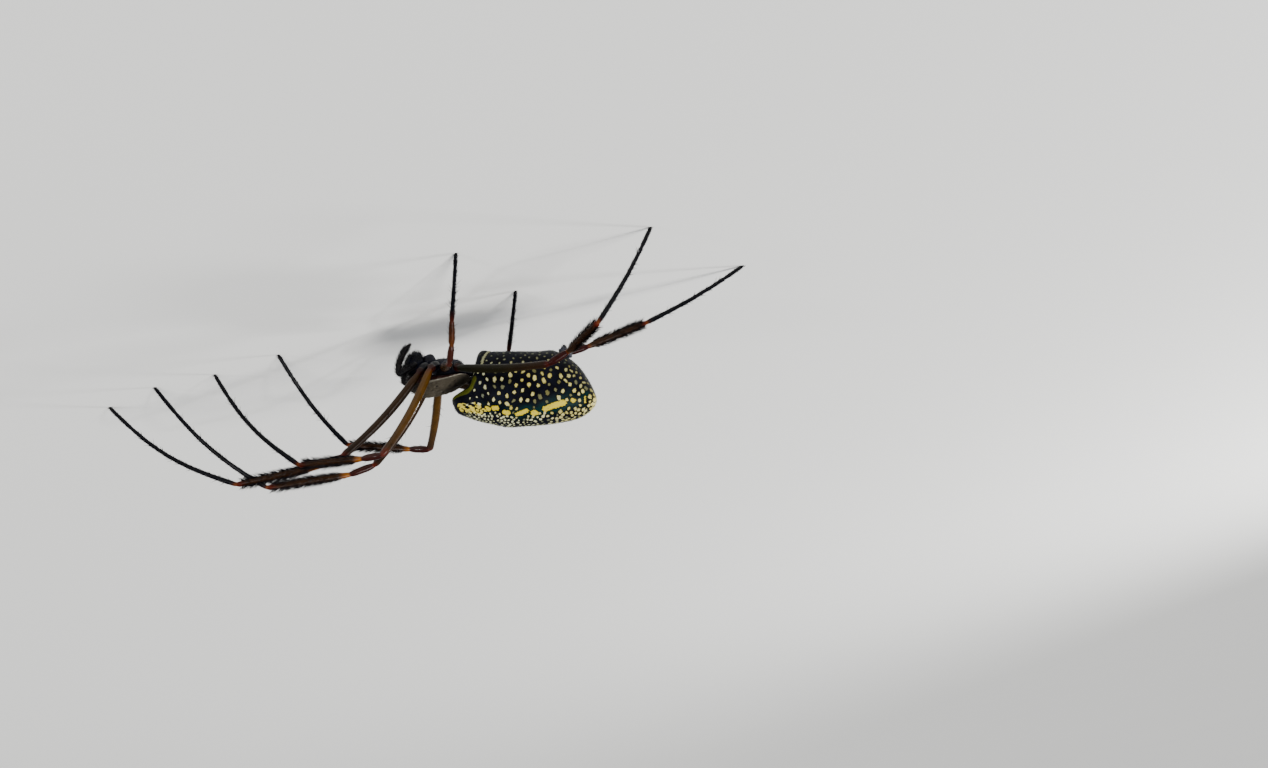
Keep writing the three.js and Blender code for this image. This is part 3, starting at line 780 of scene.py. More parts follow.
def carapace_group():
    """Silver hair over dark cuticle, a pale margin and the dark edge below it."""
    group, _, result = new_group("carapace markings", {}, {"Color": "NodeSocketColor"})
    bare, rim = mark(group, "bare"), mark(group, "rim")
    colour = blend(group, mottled(group, 900.0, 0.0, 0.55), colours().silver, PAINT["tan hair"])
    colour = blend(group, bare, colour, PAINT["bare carapace"])
    edge = stepped(group, rim, ((0.0, 0), (0.42, 0), (0.45, 1), (0.475, 1), (0.49, 0)))
    margin = maths(group, "MULTIPLY", edge, maths(group, "SUBTRACT", 1.0, bare))
    colour = blend(group, margin, colour, PAINT["carapace margin"])
    below = stepped(group, rim, ((0.0, 0), (0.48, 0), (0.5, 1), (1.0, 1)))
    group.links.new(blend(group, below, colour, PAINT["carapace edge"]), result.inputs["Color"])
    return group


def leg_stops(pair):
    """Colours along a leg, by segment number and share: the coxa is 0 to 1, the foot ends at 5."""
    paint = colours()
    amber, red, black = tuple(paint.amber), tuple(paint.red), tuple(paint.black)
    hips = [
        (0.0, black), (0.7, black), (0.76, (0.016, 0.003, 0.002)), (0.97, (0.02, 0.004, 0.002)), (1.0, WINE),
    ]
    if pair == 3:
        return hips + [
            (1.1, (0.04, 0.02, 0.004)), (1.85, (0.036, 0.015, 0.004)), (1.96, (0.05, 0.009, 0.003)),
            (2.1, (0.036, 0.006, 0.003)), (2.9, (0.04, 0.008, 0.003)), (3.02, (0.09, 0.026, 0.005)),
            (3.3, (0.07, 0.02, 0.005)), (3.85, (0.045, 0.012, 0.004)), (3.97, (0.05, 0.008, 0.003)),
            (4.03, (0.05, 0.008, 0.003)), (4.1, WINE), (4.18, black), (5.0, black),
        ]
    thighs = {
        1: [(1.03, (0.03, 0.013, 0.003)), (1.4, (0.024, 0.011, 0.003)), (1.93, (0.02, 0.009, 0.003))],
        2: [(1.02, (0.07, 0.02, 0.003)), (1.09, amber), (1.6, amber), (1.9, (0.035, 0.015, 0.003))],
        4: [(1.04, (0.006, 0.006, 0.002)), (1.5, (0.01, 0.008, 0.002)), (1.95, (0.022, 0.009, 0.003))],
    }
    if pair == 4:
        knee = [(1.985, WINE), (2.0, RUST), (2.03, WINE), (2.94, WINE)]
        base = [(3.0, RUST), (3.02, (0.1, 0.03, 0.006)), (3.07, BROWN), (3.88, BROWN)]
    else:
        knee = [
            (1.975, RUST), (1.99, red), (2.02, RUST), (2.07, WINE), (2.8, (0.034, 0.005, 0.002)), (2.96, WINE),
        ]
        base = [
            (3.0, RUST), (3.012, (0.26, 0.09, 0.008)), (3.07, (0.18, 0.055, 0.005)),
            (3.14, BROWN), (3.86, BROWN),
        ]
    ankle = [
        (3.955, RUST), (3.998, red), (4.006, (0.13, 0.035, 0.004)), (4.02, WINE), (4.035, black), (5.0, black),
    ]
    return hips + thighs[pair] + knee + base + ankle


def leg_group(pair):
    """A leg's colours from coxa to foot, which its skin and its bristles share."""
    outputs = {"Color": "NodeSocketColor", "Gloss": "NodeSocketFloat"}
    group, _, result = new_group(f"leg colours {pair}", {}, outputs)
    along = maths(group, "ADD", mark(group, "along"), mottled(group, 1500.0, -0.008, 0.008))
    stops = [(position / len(SEGMENTS), colour) for position, colour in leg_stops(pair)]
    colour = ramp(group, maths(group, "DIVIDE", along, len(SEGMENTS)), stops)
    colour = blend(group, mottled(group, 700.0, 0.0, 0.45), colour, PAINT["leg patches"], "MULTIPLY")
    group.links.new(colour, result.inputs["Color"])
    group.links.new(spread(group, along, 2.95, 3.15, THIGH_GLOSS[pair], 0.08), result.inputs["Gloss"])
    return group


GROUP_MAKERS = {
    "relief": relief_group,
    "mottle": mottle_group,
    "abdomen": abdomen_group,
    "carapace": carapace_group,
    **{f"leg_{pair}": partial(leg_group, pair) for pair in PAIRS},
}
GROUPS = {}


def shared(tree, name, **values):
    """Adds a node group that several materials use, which is made the first time it is wanted."""
    if name not in GROUPS:
        GROUPS[name] = GROUP_MAKERS[name]()
    return add_node(tree, "ShaderNodeGroup", values, node_tree=GROUPS[name])


def mottled(tree, scale, low=0.0, high=1.0):
    return shared(tree, "mottle", Scale=scale, Low=low, High=high).outputs["Value"]


def new_material(name, **shader_values):
    """A material with its Principled shader's plain values set."""
    material = bpy.data.materials.new(name)
    material.use_nodes = True
    shader = material.node_tree.nodes["Principled BSDF"]
    for socket, value in shader_values.items():
        shader.inputs[socket.replace("_", " ")].default_value = value
    return material, material.node_tree, shader


def add_relief(tree, shader, scale, depth, roughness, pores=0.3):
    """Gives a shader the cuticle's relief, and a roughness between two limits that goes with it."""
    relief = shared(tree, "relief", Scale=scale, Depth=depth, Pores=pores)
    tree.links.new(relief.outputs["Normal"], shader.inputs["Normal"])
    tree.links.new(spread(tree, relief.outputs["Mask"], 0.3, 0.7, *roughness), shader.inputs["Roughness"])


def marked_material(name, markings, scale, depth, roughness, pores=0.3, **shader_values):
    """Cuticle with the markings of a shared group."""
    material, tree, shader = new_material(name, **shader_values)
    markings = shared(tree, markings)
    tree.links.new(markings.outputs["Color"], shader.inputs["Base Color"])
    if "Gloss" in markings.outputs:
        tree.links.new(markings.outputs["Gloss"], shader.inputs["Coat Weight"])
    add_relief(tree, shader, scale, depth, roughness, pores)
    return material


def dark_material(name):
    """Black cuticle with soft patches of its tint; the blue-grey patches are painted sheen."""
    roughness, scale, depth, tint_and_sheen = DARK_CUTICLES[name]
    material, tree, shader = new_material(name, Specular_IOR_Level=0.08, Coat_Weight=0.1, Coat_Roughness=0.14)
    # Soft patches: painted blue sheen on the sternum, chelicerae and spinnerets, the cuticle's own tint
    # elsewhere
    tree.links.new(blend(tree, mottled(tree, 900.0), colours().black, tint_and_sheen), shader.inputs["Base Color"])
    add_relief(tree, shader, scale, depth, (roughness * 0.8, roughness * 1.3), 0.4)
    return material


def eye_material():
    polish = {"Specular_IOR_Level": 0.7, "Coat_Weight": 1.0, "Coat_Roughness": 0.02}
    material, tree, shader = new_material("eye lens", **polish)
    depth = mottled(tree, 2500.0)
    tree.links.new(blend(tree, depth, PAINT["eye"], PAINT["eye depth"]), shader.inputs["Base Color"])
    tree.links.new(spread(tree, depth, 0, 1, 0.04, 0.09), shader.inputs["Roughness"])
    return material


def hair_material(name, colour, roughness, shine=0.08, markings=None, share=1.0):
    """Hair in a colour of its own, or in a share of it over the skin's own markings."""
    material, tree, shader = new_material(name, Specular_IOR_Level=shine)
    if markings:
        colour = blend(tree, share, shared(tree, markings).outputs["Color"], colour)
    tone = mark(tree, "tone")
    light = spread(tree, tone, 0, 1, 0.55, 1.2)
    grey = add_node(tree, "ShaderNodeCombineColor", {"Red": light, "Green": light, "Blue": light}).outputs[0]
    tree.links.new(blend(tree, 1.0, colour, grey, "MULTIPLY"), shader.inputs["Base Color"])
    tree.links.new(spread(tree, tone, 0, 1, roughness * 0.8, roughness * 1.2), shader.inputs["Roughness"])
    return material


def floor_material():
    material, tree, shader = new_material("studio floor", Roughness=0.75)
    pale = colours().floor
    colour = blend(tree, mottled(tree, 8.0, 0.0, 0.06), pale, [0.8 * value for value in pale])
    tree.links.new(colour, shader.inputs["Base Color"])
    return material


# Hair


def bristle_shape():
    """One bristle of unit length and radius along +Z: a three-sided cone cut across, so that it bends."""
    bm = bmesh.new()
    bmesh.ops.create_cone(bm, cap_ends=True, segments=3, radius1=1, radius2=0, depth=1)
    bmesh.ops.translate(bm, vec=(0, 0, 0.5), verts=bm.verts)
    for cut in BRISTLE_CUTS:
        geometry = bm.verts[:] + bm.edges[:] + bm.faces[:]
        bmesh.ops.bisect_plane(bm, geom=geometry, plane_co=(0, 0, cut), plane_no=(0, 0, 1))
    bmesh.ops.triangulate(bm, faces=bm.faces)
    bm.verts.index_update()
    points = np.array([vert.co for vert in bm.verts])
    faces = np.array([[vert.index for vert in face.verts] for face in bm.faces])
    bm.free()
    return points, faces


def unit_rows(rows):
    return rows / np.maximum(np.linalg.norm(rows, axis=-1, keepdims=True), 1e-9)


def coat_mesh(name, coat):
    """Joins one bristle for each root.

    A coat holds the roots, the skin's outward direction and the lie there, the bristles' length, radius,
    lean and droop, their place on an unwrap of the skin, and the skin's marks at the roots.
    """
    shape, faces = bristle_shape()
    count, corners = len(coat["root"]), len(shape)
    outward = unit_rows(coat["outward"])
    lie = unit_rows(coat["lie"] - outward * np.sum(coat["lie"] * outward, axis=1, keepdims=True))
    lean = coat["lean"][:, None]
    ahead = lie * np.cos(lean) + outward * np.sin(lean)
    side = unit_rows(np.cross(ahead, outward))
    other = np.cross(side, ahead)
    x, y, z = shape.T
    length, radius, droop = (coat[key][:, None, None] for key in ("length", "radius", "droop"))
    rise = z[None, :, None]
    points = coat["root"][:, None, :] + ahead[:, None, :] * (rise * 1.04 - 0.04) * length
    points = points - outward[:, None, :] * droop * length * rise**2
    points = points + (side[:, None, :] * x[None, :, None] + other[:, None, :] * y[None, :, None]) * radius
    corner_list = (faces[None, :, :] + (np.arange(count) * corners)[:, None, None]).reshape(-1, 3)
    mesh = bpy.data.meshes.new(name)
    mesh.vertices.add(count * corners)
    write_points(mesh, points.reshape(-1, 3))
    mesh.loops.add(corner_list.size)
    mesh.loops.foreach_set("vertex_index", corner_list.astype(np.int32).ravel())
    mesh.polygons.add(len(corner_list))
    mesh.polygons.foreach_set("loop_start", np.arange(0, corner_list.size, 3, dtype=np.int32))
    mesh.update(calc_edges=True)
    patch = np.stack((0.5 + 0.5 * x, z), axis=-1) * BAKE_PATCH
    flat = (coat["unwrap"][:, None, :] * (1 - BAKE_PATCH) + patch[None, :, :]).reshape(-1, 2)
    unwrap = mesh.uv_layers.new(name="OFBake")
    unwrap.uv.foreach_set("vector", flat[corner_list.ravel()].astype(np.float32).ravel())
    marks = {key: np.repeat(values, corners) for key, values in coat["marks"].items()}
    marks["tone"] = np.repeat(coat["tone"], corners)
    write_marks(mesh, marks)
    return mesh


def gathered(coats):
    """Several coats as one."""
    joined = {key: np.concatenate([coat[key] for coat in coats]) for key in coats[0] if key != "marks"}
    names = coats[0]["marks"]
    joined["marks"] = {key: np.concatenate([coat["marks"][key] for coat in coats]) for key in names}
    return joined


def grown(draw, roots, length, radius, lean, droop=0.15, sway=0.25):
    """A coat of bristles at given roots, each a little unlike the next."""
    root, outward, lie, unwrap, marks = roots
    count = len(root)
    jitter = draw.normal(size=(count, 3)) * sway
    return {
        "root": root,
        "outward": outward,
        "lie": lie + jitter,
        "length": length * draw.uniform(0.7, 1.15, count),
        "radius": radius * draw.uniform(0.8, 1.2, count),
        "lean": np.radians(lean + draw.normal(size=count) * 6),
        "droop": droop * draw.uniform(0.4, 1.3, count),
        "unwrap": np.clip(unwrap, 0, 1),
        "tone": draw.uniform(0, 1, count),
        "marks": marks,
    }


def body_way(heading):
    """A direction of the body's own frame in the model's frame."""
    return np.array(BODY.to_3x3() @ Vector(heading))


def skin_coat(draw, skin, kind, marks, density=1, keep=None, **lengths):
    """A coat of one kind, spread over a body's skin with the skin's marks."""
    mesh, share, around = skin
    count, heading = COATS[kind]
    count = int(count * density)
    root, outward, at = skin_roots(draw, mesh, count, keep)
    unwrap = np.stack((at(share), np.abs(at(around)) / math.pi), axis=-1)
    marks = {key: at(values) for key, values in marks.items()}
    roots = (root, outward, np.tile(body_way(heading), (count, 1)), unwrap, marks)
    return grown(draw, roots, **lengths, **BRISTLES[kind])


def limb_roots(draw, limb, low, high, count, crest=0):
    """Random roots round and along a swept limb, between two of its along values.

    The crest is the share of them that is drawn to the limb's upper and lower edges. The limb's own along
    values are their only mark.
    """
    stations = np.arange(len(limb["along"]))
    inside = stations[(limb["along"] >= low) & (limb["along"] <= high)]
    place = draw.uniform(inside[0], inside[-1], count)
    angle = draw.uniform(0, 2 * math.pi, count)

    def at(key):
        values = limb[key]
        if values.ndim == 1:
            return np.interp(place, stations, values)
        return np.stack([np.interp(place, stations, values[:, i]) for i in range(3)], axis=-1)

    edge = np.arctan2(at("upward")[:, 2], at("across")[:, 2]) + math.pi * draw.integers(0, 2, count)
    crested = draw.uniform(size=count) < crest
    angle = np.where(crested, edge + draw.normal(size=count) * 0.45, angle) % (2 * math.pi)
    outward = unit_rows(at("across") * np.cos(angle)[:, None] + at("upward") * np.sin(angle)[:, None])
    root = at("centres") + outward * (at("radii") * 0.96)[:, None]
    unwrap = np.stack((place / len(stations), angle / (2 * math.pi)), axis=-1)
    return root, outward, at("headings"), unwrap, {"along": at("along")}


def skin_roots(draw, mesh, count, keep=None):
    """Random points spread evenly over a mesh, with its normals there and a reader of its marks.

    The triangles are sorted first, because a ball's faces come in another order each time.
    """
    mesh.calc_loop_triangles()
    corners = np.empty(len(mesh.loop_triangles) * 3, np.int32)
    mesh.loop_triangles.foreach_get("vertices", corners)
    corners = corners.reshape(-1, 3)
    corners = corners[np.lexsort(corners.T)]
    points = read_points(mesh)
    first, second, third = (points[corners[:, i]] for i in range(3))
    crossed = np.cross(second - first, third - first)
    areas = np.linalg.norm(crossed, axis=1)
    weights = areas if keep is None else areas * keep[corners].mean(1)
    chosen = draw.choice(len(corners), count, p=weights / weights.sum())
    u, v = draw.uniform(size=(2, count))
    flip = u + v > 1
    u, v = np.where(flip, 1 - u, u), np.where(flip, 1 - v, v)
    shares = np.stack((1 - u - v, u, v), axis=-1)
    corners = corners[chosen]

    def at(values):
        picked = values[corners]
        if values.ndim == 1:
            return np.sum(picked * shares, axis=1)
        return np.sum(picked * shares[:, :, None], axis=1)

    return at(points), unit_rows(crossed[chosen]), at


# Abdomen


def spaced(points, spacing, draw):
    """Picks points in random order, so that none lies closer to an earlier one than its spacing."""
    tree = kdtree.KDTree(len(points))
    for index, point in enumerate(points):
        tree.insert(point, index)
    tree.balance()
    free = np.ones(len(points), bool)
    picked = []
    for index in draw.permutation(len(points)):
        if free[index]:
            picked.append(index)
            near = [found[1] for found in tree.find_range(points[index], spacing[index])]
            free[near] = False
    return tree, picked


def path_distance(points, path):
    """How far points lie from a bent line through a few places."""
    nearest = np.full(len(points), FAR_AWAY)
    for start, end in zip(path[:-1], path[1:]):
        span = end - start
        share = np.clip((points - start) @ span / (span @ span), 0, 1)
        nearest = np.minimum(nearest, np.linalg.norm(points - start - share[:, None] * span, axis=1))
    return nearest


def marking_distance(points, places, sign):
    """How far points lie from a marking of the abdomen, given as x and degrees from the midline."""
    x, degrees = (np.array(values, float) for values in zip(*places))
    finer = np.linspace(0, len(x) - 1, 6 * len(x))
    index = np.arange(len(x))
    path = surface_at("abdomen", np.interp(finer, index, x), sign * np.interp(finer, index, degrees))
    return path_distance(points, path)


def spot_plan(points, around):
    """How far apart the spots of the abdomen lie, and how large, light and warm they are, at each point."""
    degrees = np.degrees(np.abs(around))
    x = points[:, 0]
    low_rear = np.interp(x, *SPOT_RULES["low_rear"]) ** (degrees < 48)
    spacing = np.interp(degrees, *SPOT_RULES["spacing"])
    spacing = spacing * np.interp(x, *SPOT_RULES["spacing_by_x"]) * low_rear
    size = np.interp(degrees, *SPOT_RULES["size"]) * low_rear
    shrunk = np.interp(x, *SPOT_RULES["size_by_x"])
    size = size * np.where(degrees < 45, np.maximum(shrunk, 0.9), shrunk)
    light = np.interp(degrees, *SPOT_RULES["light"])
    warmth = np.interp(degrees, *SPOT_RULES["warmth"]) + np.interp(x, *SPOT_RULES["warmth_by_x"])
    return np.maximum(spacing, 2.3 * size), size, light, np.clip(warmth, 0, 0.6)


def abdomen_marks(points, around):
    """Signed distance to the nearest spot's edge, in millimetres, with its light and warmth."""
    draw = np.random.default_rng(skin_sizes().seed)
    spot = np.full(len(points), -1.0)
    light, warmth = np.ones(len(points)), np.zeros(len(points))
    line = np.full(len(points), FAR_AWAY)
    sandy = np.zeros(len(points))
    x, y, z = points.T
    grain = np.sin(x * 9.1 + 2 * np.sin(z * 7)) * np.sin(z * 11 + y * 3)

    def lay(value, brightness, yellow):
        nearer = value > spot
        spot[nearer] = value[nearer]
        light[nearer] = brightness
        warmth[nearer] = yellow

    for sign in (-1, 1):
        for number, (places, half) in enumerate(GOLDEN_LINE):
            shift = 0.12 * (sign > 0) * math.sin(5 * number)
            shifted = [(place_x + shift, degrees) for place_x, degrees in places]
            away = marking_distance(points, shifted, sign)
            line = np.minimum(line, away)
            if number == 0:
                sandy = np.maximum(sandy, np.clip((half + 0.35 - away) / 0.3, 0, 1))
                lay(half - away + 0.2 * grain, 1, 0.85)
            else:
                lay(half - away + 0.06 * grain, 1, 0.95)
        places, half = BELLY_STRIPE
        lay(half - marking_distance(points, places, sign) + 0.06 * grain, 0.4, 0.2)
    band_places, band_half = FRONT_BAND
    band_room = np.minimum(*(marking_distance(points, band_places, sign) for sign in (1, -1)))
    spacing, size, brightness, yellow = spot_plan(points, around)
    tree, picked = spaced(points, spacing, draw)
    for index in picked:
        centre = points[index]
        short = size[index] * skin_sizes().spot_size * draw.uniform(0.7, 1.15)
        long = short * draw.uniform(1.1, 1.75)
        faint = draw.uniform() < FAINT_SHARE
        turned = math.radians(draw.normal() * 20)
        bare_front = centre[0] > 1.2 or band_room[index] < band_half + 0.25
        if line[index] < 0.4 + short or bare_front:
            continue
        ring = np.array((0, math.cos(around[index]), -math.sin(around[index])))
        length = np.array((1.0, 0, 0))
        tall = ring * math.cos(turned) + length * math.sin(turned)
        wide = length * math.cos(turned) - ring * math.sin(turned)
        near = [found[1] for found in tree.find_range(centre, 1.6 * long + 0.25)]
        offset = points[near] - centre
        reach = np.sqrt((offset @ tall / long) ** 2 + (offset @ wide / short) ** 2)
        value = (1 - reach) * short
        nearer = value > spot[near]
        chosen = np.array(near)[nearer]
        spot[chosen] = value[nearer]
        light[chosen] = brightness[index] * (0.2 if faint else draw.uniform(0.75, 1))
        warmth[chosen] = np.clip(yellow[index] + draw.uniform(-0.15, 0.15), 0, 1)
    # Painted sheen: how strongly teal lies beside the golden line
    teal = np.exp(-((np.maximum(line - 0.3, 0) / 0.8) ** 2)) * np.interp(x, *TEAL_BY_X)
    band = np.clip((band_half - band_room + 0.04 * grain) / 0.16, 0, 1)
    return {"spot": spot, "light": light, "warmth": warmth, "line_near": teal, "band": band, "grain": sandy}


def abdomen_relief(points):
    """Soft dents, the furrow beside the belly stripe and the pits of the back, as a height in millimetres."""
    x, y, z = points.T
    swell = 0.035 * np.sin(1.1 * x + 0.8 * np.sin(0.9 * z)) * np.sin(0.9 * z + 0.6 * y)
    dents = np.zeros((2, len(points)))
    for sign in (1, -1):
        beside = marking_distance(points, BELLY_STRIPE[0], sign) - 0.28
        dents[0] -= 0.09 * np.exp(-((beside / 0.12) ** 2))
    for pit_x, degrees in PITS:
        for sign in (-1, 1):
            centre = surface_at("abdomen", pit_x, sign * degrees)
            dents[1] -= 0.09 * np.exp(-(np.linalg.norm(points - centre, axis=1) / 0.17) ** 2)
    return swell + dents[0] + dents[1]


def raised(points, which, heights):
    """Moves a body's points out from the middle of their own ring."""
    drawn = OUTLINES[which]
    middle = np.interp(-points[:, 0], -drawn["x"], (drawn["top"] + drawn["bottom"]) / 2)
    spokes = np.stack((np.zeros(len(points)), points[:, 1], points[:, 2] - middle), axis=-1)
    return points + unit_rows(spokes) * heights[:, None]


class AddAbdomen(bpy.types.Operator):
    """Adds the abdomen's skin with its spots and golden line, and its fine hairs"""

    bl_idname = "spider.add_abdomen"
    bl_label = "Abdomen"

    def execute(self, context):
        sizes, coat = skin_sizes(), coat_sizes()
        mesh, share, around, points = outline_mesh("abdomen_skin", "abdomen", sizes.facets, sizes.rows)
        marks = abdomen_marks(points, around)
        write_marks(mesh, marks)
        write_points(mesh, in_model(raised(points, "abdomen", abdomen_relief(points))))
        draw = np.random.default_rng(sizes.seed + 1)
        length = coat.hair_length / MM * 0.8
        hair = skin_coat(draw, (mesh, share, around), "abdomen", marks, coat.density, length=length)
        skin = marked_material(
            "abdomen cuticle", "abdomen", 3600.0, 0.000016, (0.3, 0.48), Specular_IOR_Level=0.035
        )
        finish_piece(mesh, skin, ["abdomen"])
        down = hair_material("abdomen hair", (0.012, 0.011, 0.012), 0.5, markings="abdomen", share=0.4)
        finish_piece(coat_mesh("abdomen_hair", hair), down)
        return {"FINISHED"}


# Front of the body


def carapace_relief(points, around):
    """Grooves round the head region, the pit between them, faint rays and a raised margin."""
    x, y, _ = points.T
    flat = np.stack((x, np.abs(y), np.zeros(len(x))), axis=-1)
    heights = np.zeros(len(x))
    for places, width, depth in GROOVES:
        path = np.array([(*place, 0) for place in places], float)
        heights -= depth * np.exp(-((path_distance(flat, path) / width) ** 2))
    above = np.clip(np.cos(around), 0, 1)
    margin = np.abs(np.degrees(np.abs(around)) - 90)
    return heights * above**0.5 + 0.07 * np.exp(-((margin / 7) ** 2))


def carapace_bare(points):
    """Where the silver hair leaves the dark cuticle bare: small spots and the eye field."""
    x, y, _ = points.T
    bare = np.clip((x - 5.7) / 0.9, 0, 1)
    for spot_x, spot_y in BARE_SPOTS:
        away = np.hypot(x - spot_x, np.abs(y) - spot_y)
        bare = np.maximum(bare, np.clip((0.3 - away) / 0.1, 0, 1))
    return bare


class AddFrontBody(bpy.types.Operator):
    """Adds the carapace with its silver hair, the sternum, the mouth plates and the pedicel"""

    bl_idname = "spider.add_front_body"
    bl_label = "Front body"

    def execute(self, context):
        draw = np.random.default_rng(skin_sizes().seed + 2)
        black = dark_material("sternum cuticle")
        fringe = self.add_carapace(draw)
        self.add_sternum(black, draw, fringe)
        self.add_plates(black)
        return {"FINISHED"}

    def add_carapace(self, draw):
        """The carapace and its silver hair. Returns the dark fringe that grows from its face."""
        coat = coat_sizes()
        mesh, share, around, points = outline_mesh("carapace_skin", "carapace", *FACETS["carapace"])
        points = raised(points, "carapace", carapace_relief(points, around))
        marks = {"rim": np.abs(around) / math.pi, "bare": carapace_bare(points)}
        write_marks(mesh, marks)
        write_points(mesh, in_model(points))
        skin = (mesh, share, around)
        haired = np.clip(1.15 - marks["bare"], 0, 1) * (marks["rim"] < 0.48)
        hair = skin_coat(draw, skin, "silver", marks, coat.density, haired, length=coat.silver_length / MM)
        face = np.clip((points[:, 0] - 7.9) / 0.6, 0, 1) * marks["bare"]
        fringe = skin_coat(draw, skin, "face", {}, coat.density, face)
        cuticle = marked_material(
            "carapace cuticle", "carapace", 5200.0, 0.00003, (0.45, 0.75), 0.6, Specular_IOR_Level=0.1
        )
        finish_piece(mesh, cuticle, ["prosoma"])
        silver = hair_material("silver hair", colours().silver, 0.4, markings="carapace", share=0.6)
        finish_piece(coat_mesh("carapace_hair", hair), silver)
        return fringe

    def add_sternum(self, material, draw, fringe):
        """The sternum, whose dark hairs are one piece with the fringe of the face."""
        mesh, share, around, points = outline_mesh("sternum_skin", "sternum", *FACETS["sternum"])
        write_points(mesh, in_model(points))
        low = np.clip(-np.cos(around), 0, 1)
        hair = skin_coat(draw, (mesh, share, around), "sternum", {}, keep=low)
        finish_piece(mesh, material)
        dark = hair_material("dark hair", (0.02, 0.017, 0.017), 0.4)
        finish_piece(coat_mesh("dark_hair", gathered([hair, fringe])), dark)

    def add_plates(self, material):
        bm = bmesh.new()
        for sign in SIDES.values():
            add_lobe(bm, MAXILLA, sign, 0.25)
        add_lobe(bm, LABIUM, 1, 0.1)
        mesh = to_mesh(bm, "mouth_plates")
        write_points(mesh, in_model(read_points(mesh)))
        finish_piece(mesh, material)
        bm = bmesh.new()
        path = [BODY @ point for point in smooth_path(PEDICEL_PATH, PEDICEL_RINGS)]
        radii = [0.5 - 0.06 * math.sin(i * 1.4) for i in range(PEDICEL_RINGS)]
        sweep(bm, path, radii, ROUND["pedicel"])
        finish_piece(to_mesh(bm, "pedicel_skin"), material)


def add_lobe(bm, lobe, sign, taper):
    """A rounded lobe, full at its upper end and narrower towards its lower end."""
    made = add_ball(bm, FACETS["lobe"], Matrix())
    for vert in made:
        reach = max(math.hypot(vert.co.x, vert.co.y), 1e-4)
        narrow = (1 + taper * vert.co.z) * (reach**-0.35 if vert.co.z > 0 else 1)
        vert.co.x *= narrow
        vert.co.y *= narrow
        vert.co.z *= 1.12 if vert.co.z > 0 else 1
    x, y, z = lobe["centre"]
    turn = Matrix.Rotation(math.radians(lobe["tilt"]), 4, "Y")
    place = Matrix.Translation((x, sign * y, z)) @ turn @ Matrix.Diagonal((*lobe["size"], 1))
    bmesh.ops.transform(bm, matrix=place, verts=made)


def smooth_path(places, count):
    """Points evenly along a smooth line through a few places."""
    places = np.array(places, float)
    lengths = np.concatenate(([0], np.cumsum(np.linalg.norm(np.diff(places, axis=0), axis=1))))
    evenly = np.linspace(0, lengths[-1], count)
    rows = np.stack([smooth_through(lengths, places[:, i], evenly) for i in range(3)], axis=-1)
    return [Vector(row) for row in rows]


def face_x(y, z):
    """How far forward the face lies at a height and a distance from the midline."""
    drawn = OUTLINES["carapace"]
    middle = (drawn["top"] + drawn["bottom"]) / 2
    height = np.maximum((drawn["top"] - drawn["bottom"]) / 2, 0.01)
    width = np.maximum(drawn["half_width"], 0.01)
    inside = ((z - middle) / height) ** 2 + (y / width) ** 2 < 1
    return drawn["x"][np.argmax(inside)]


class AddEyes(bpy.types.Operator):
    """Adds the eight eyes, each a polished lens in a dark raised ring"""

    bl_idname = "spider.add_eyes"
    bl_label = "Eyes"

    def execute(self, context):
        lens, socket = eye_material(), dark_material("eye ring")
        rings = bmesh.new()
        for name, (y, z, radius) in EYES.items():
            for side, sign in SIDES.items():
                centre = Vector((face_x(y, z), sign * y, z))
                bm = bmesh.new()
                add_ball(bm, FACETS["eye"], BODY @ Matrix.Translation(centre), radius)
                finish_piece(to_mesh(bm, f"eye_{name}_{side}_lens"), lens, [f"eye_{name}_{side}"])
                outward = (centre - HEAD_MIDDLE).normalized()
                turn = outward.to_track_quat("Z", "Y").to_matrix().to_4x4()
                self.add_ring(rings, BODY @ Matrix.Translation(centre - outward * 0.03) @ turn, radius)
        finish_piece(to_mesh(rings, "eye_rings"), socket)
        return {"FINISHED"}

    def add_ring(self, bm, place, radius):
        """A soft raised ring round an eye, spun from a small circle."""
        made = bmesh.ops.create_circle(bm, segments=ROUND["eye_ring"], radius=EYE_RING_RADIUS)["verts"]
        upright = Matrix.Translation((radius, 0, 0)) @ Matrix.Rotation(math.radians(90), 4, "X")
        bmesh.ops.transform(bm, matrix=upright, verts=made)
        edges = list({edge for vert in made for edge in vert.link_edges})
        bmesh.ops.spin(
            bm, geom=made + edges, cent=(0, 0, 0), axis=(0, 0, 1), angle=2 * math.pi, steps=36, use_merge=True
        )
        verts = {vert for vert in made if vert.is_valid}
        queue = list(verts)
        while queue:
            for edge in queue.pop().link_edges:
                for vert in edge.verts:
                    if vert not in verts:
                        verts.add(vert)
                        queue.append(vert)
        faces = list({face for vert in verts for face in vert.link_faces})
        bmesh.ops.recalc_face_normals(bm, faces=faces)
        bmesh.ops.transform(bm, matrix=place, verts=list(verts))


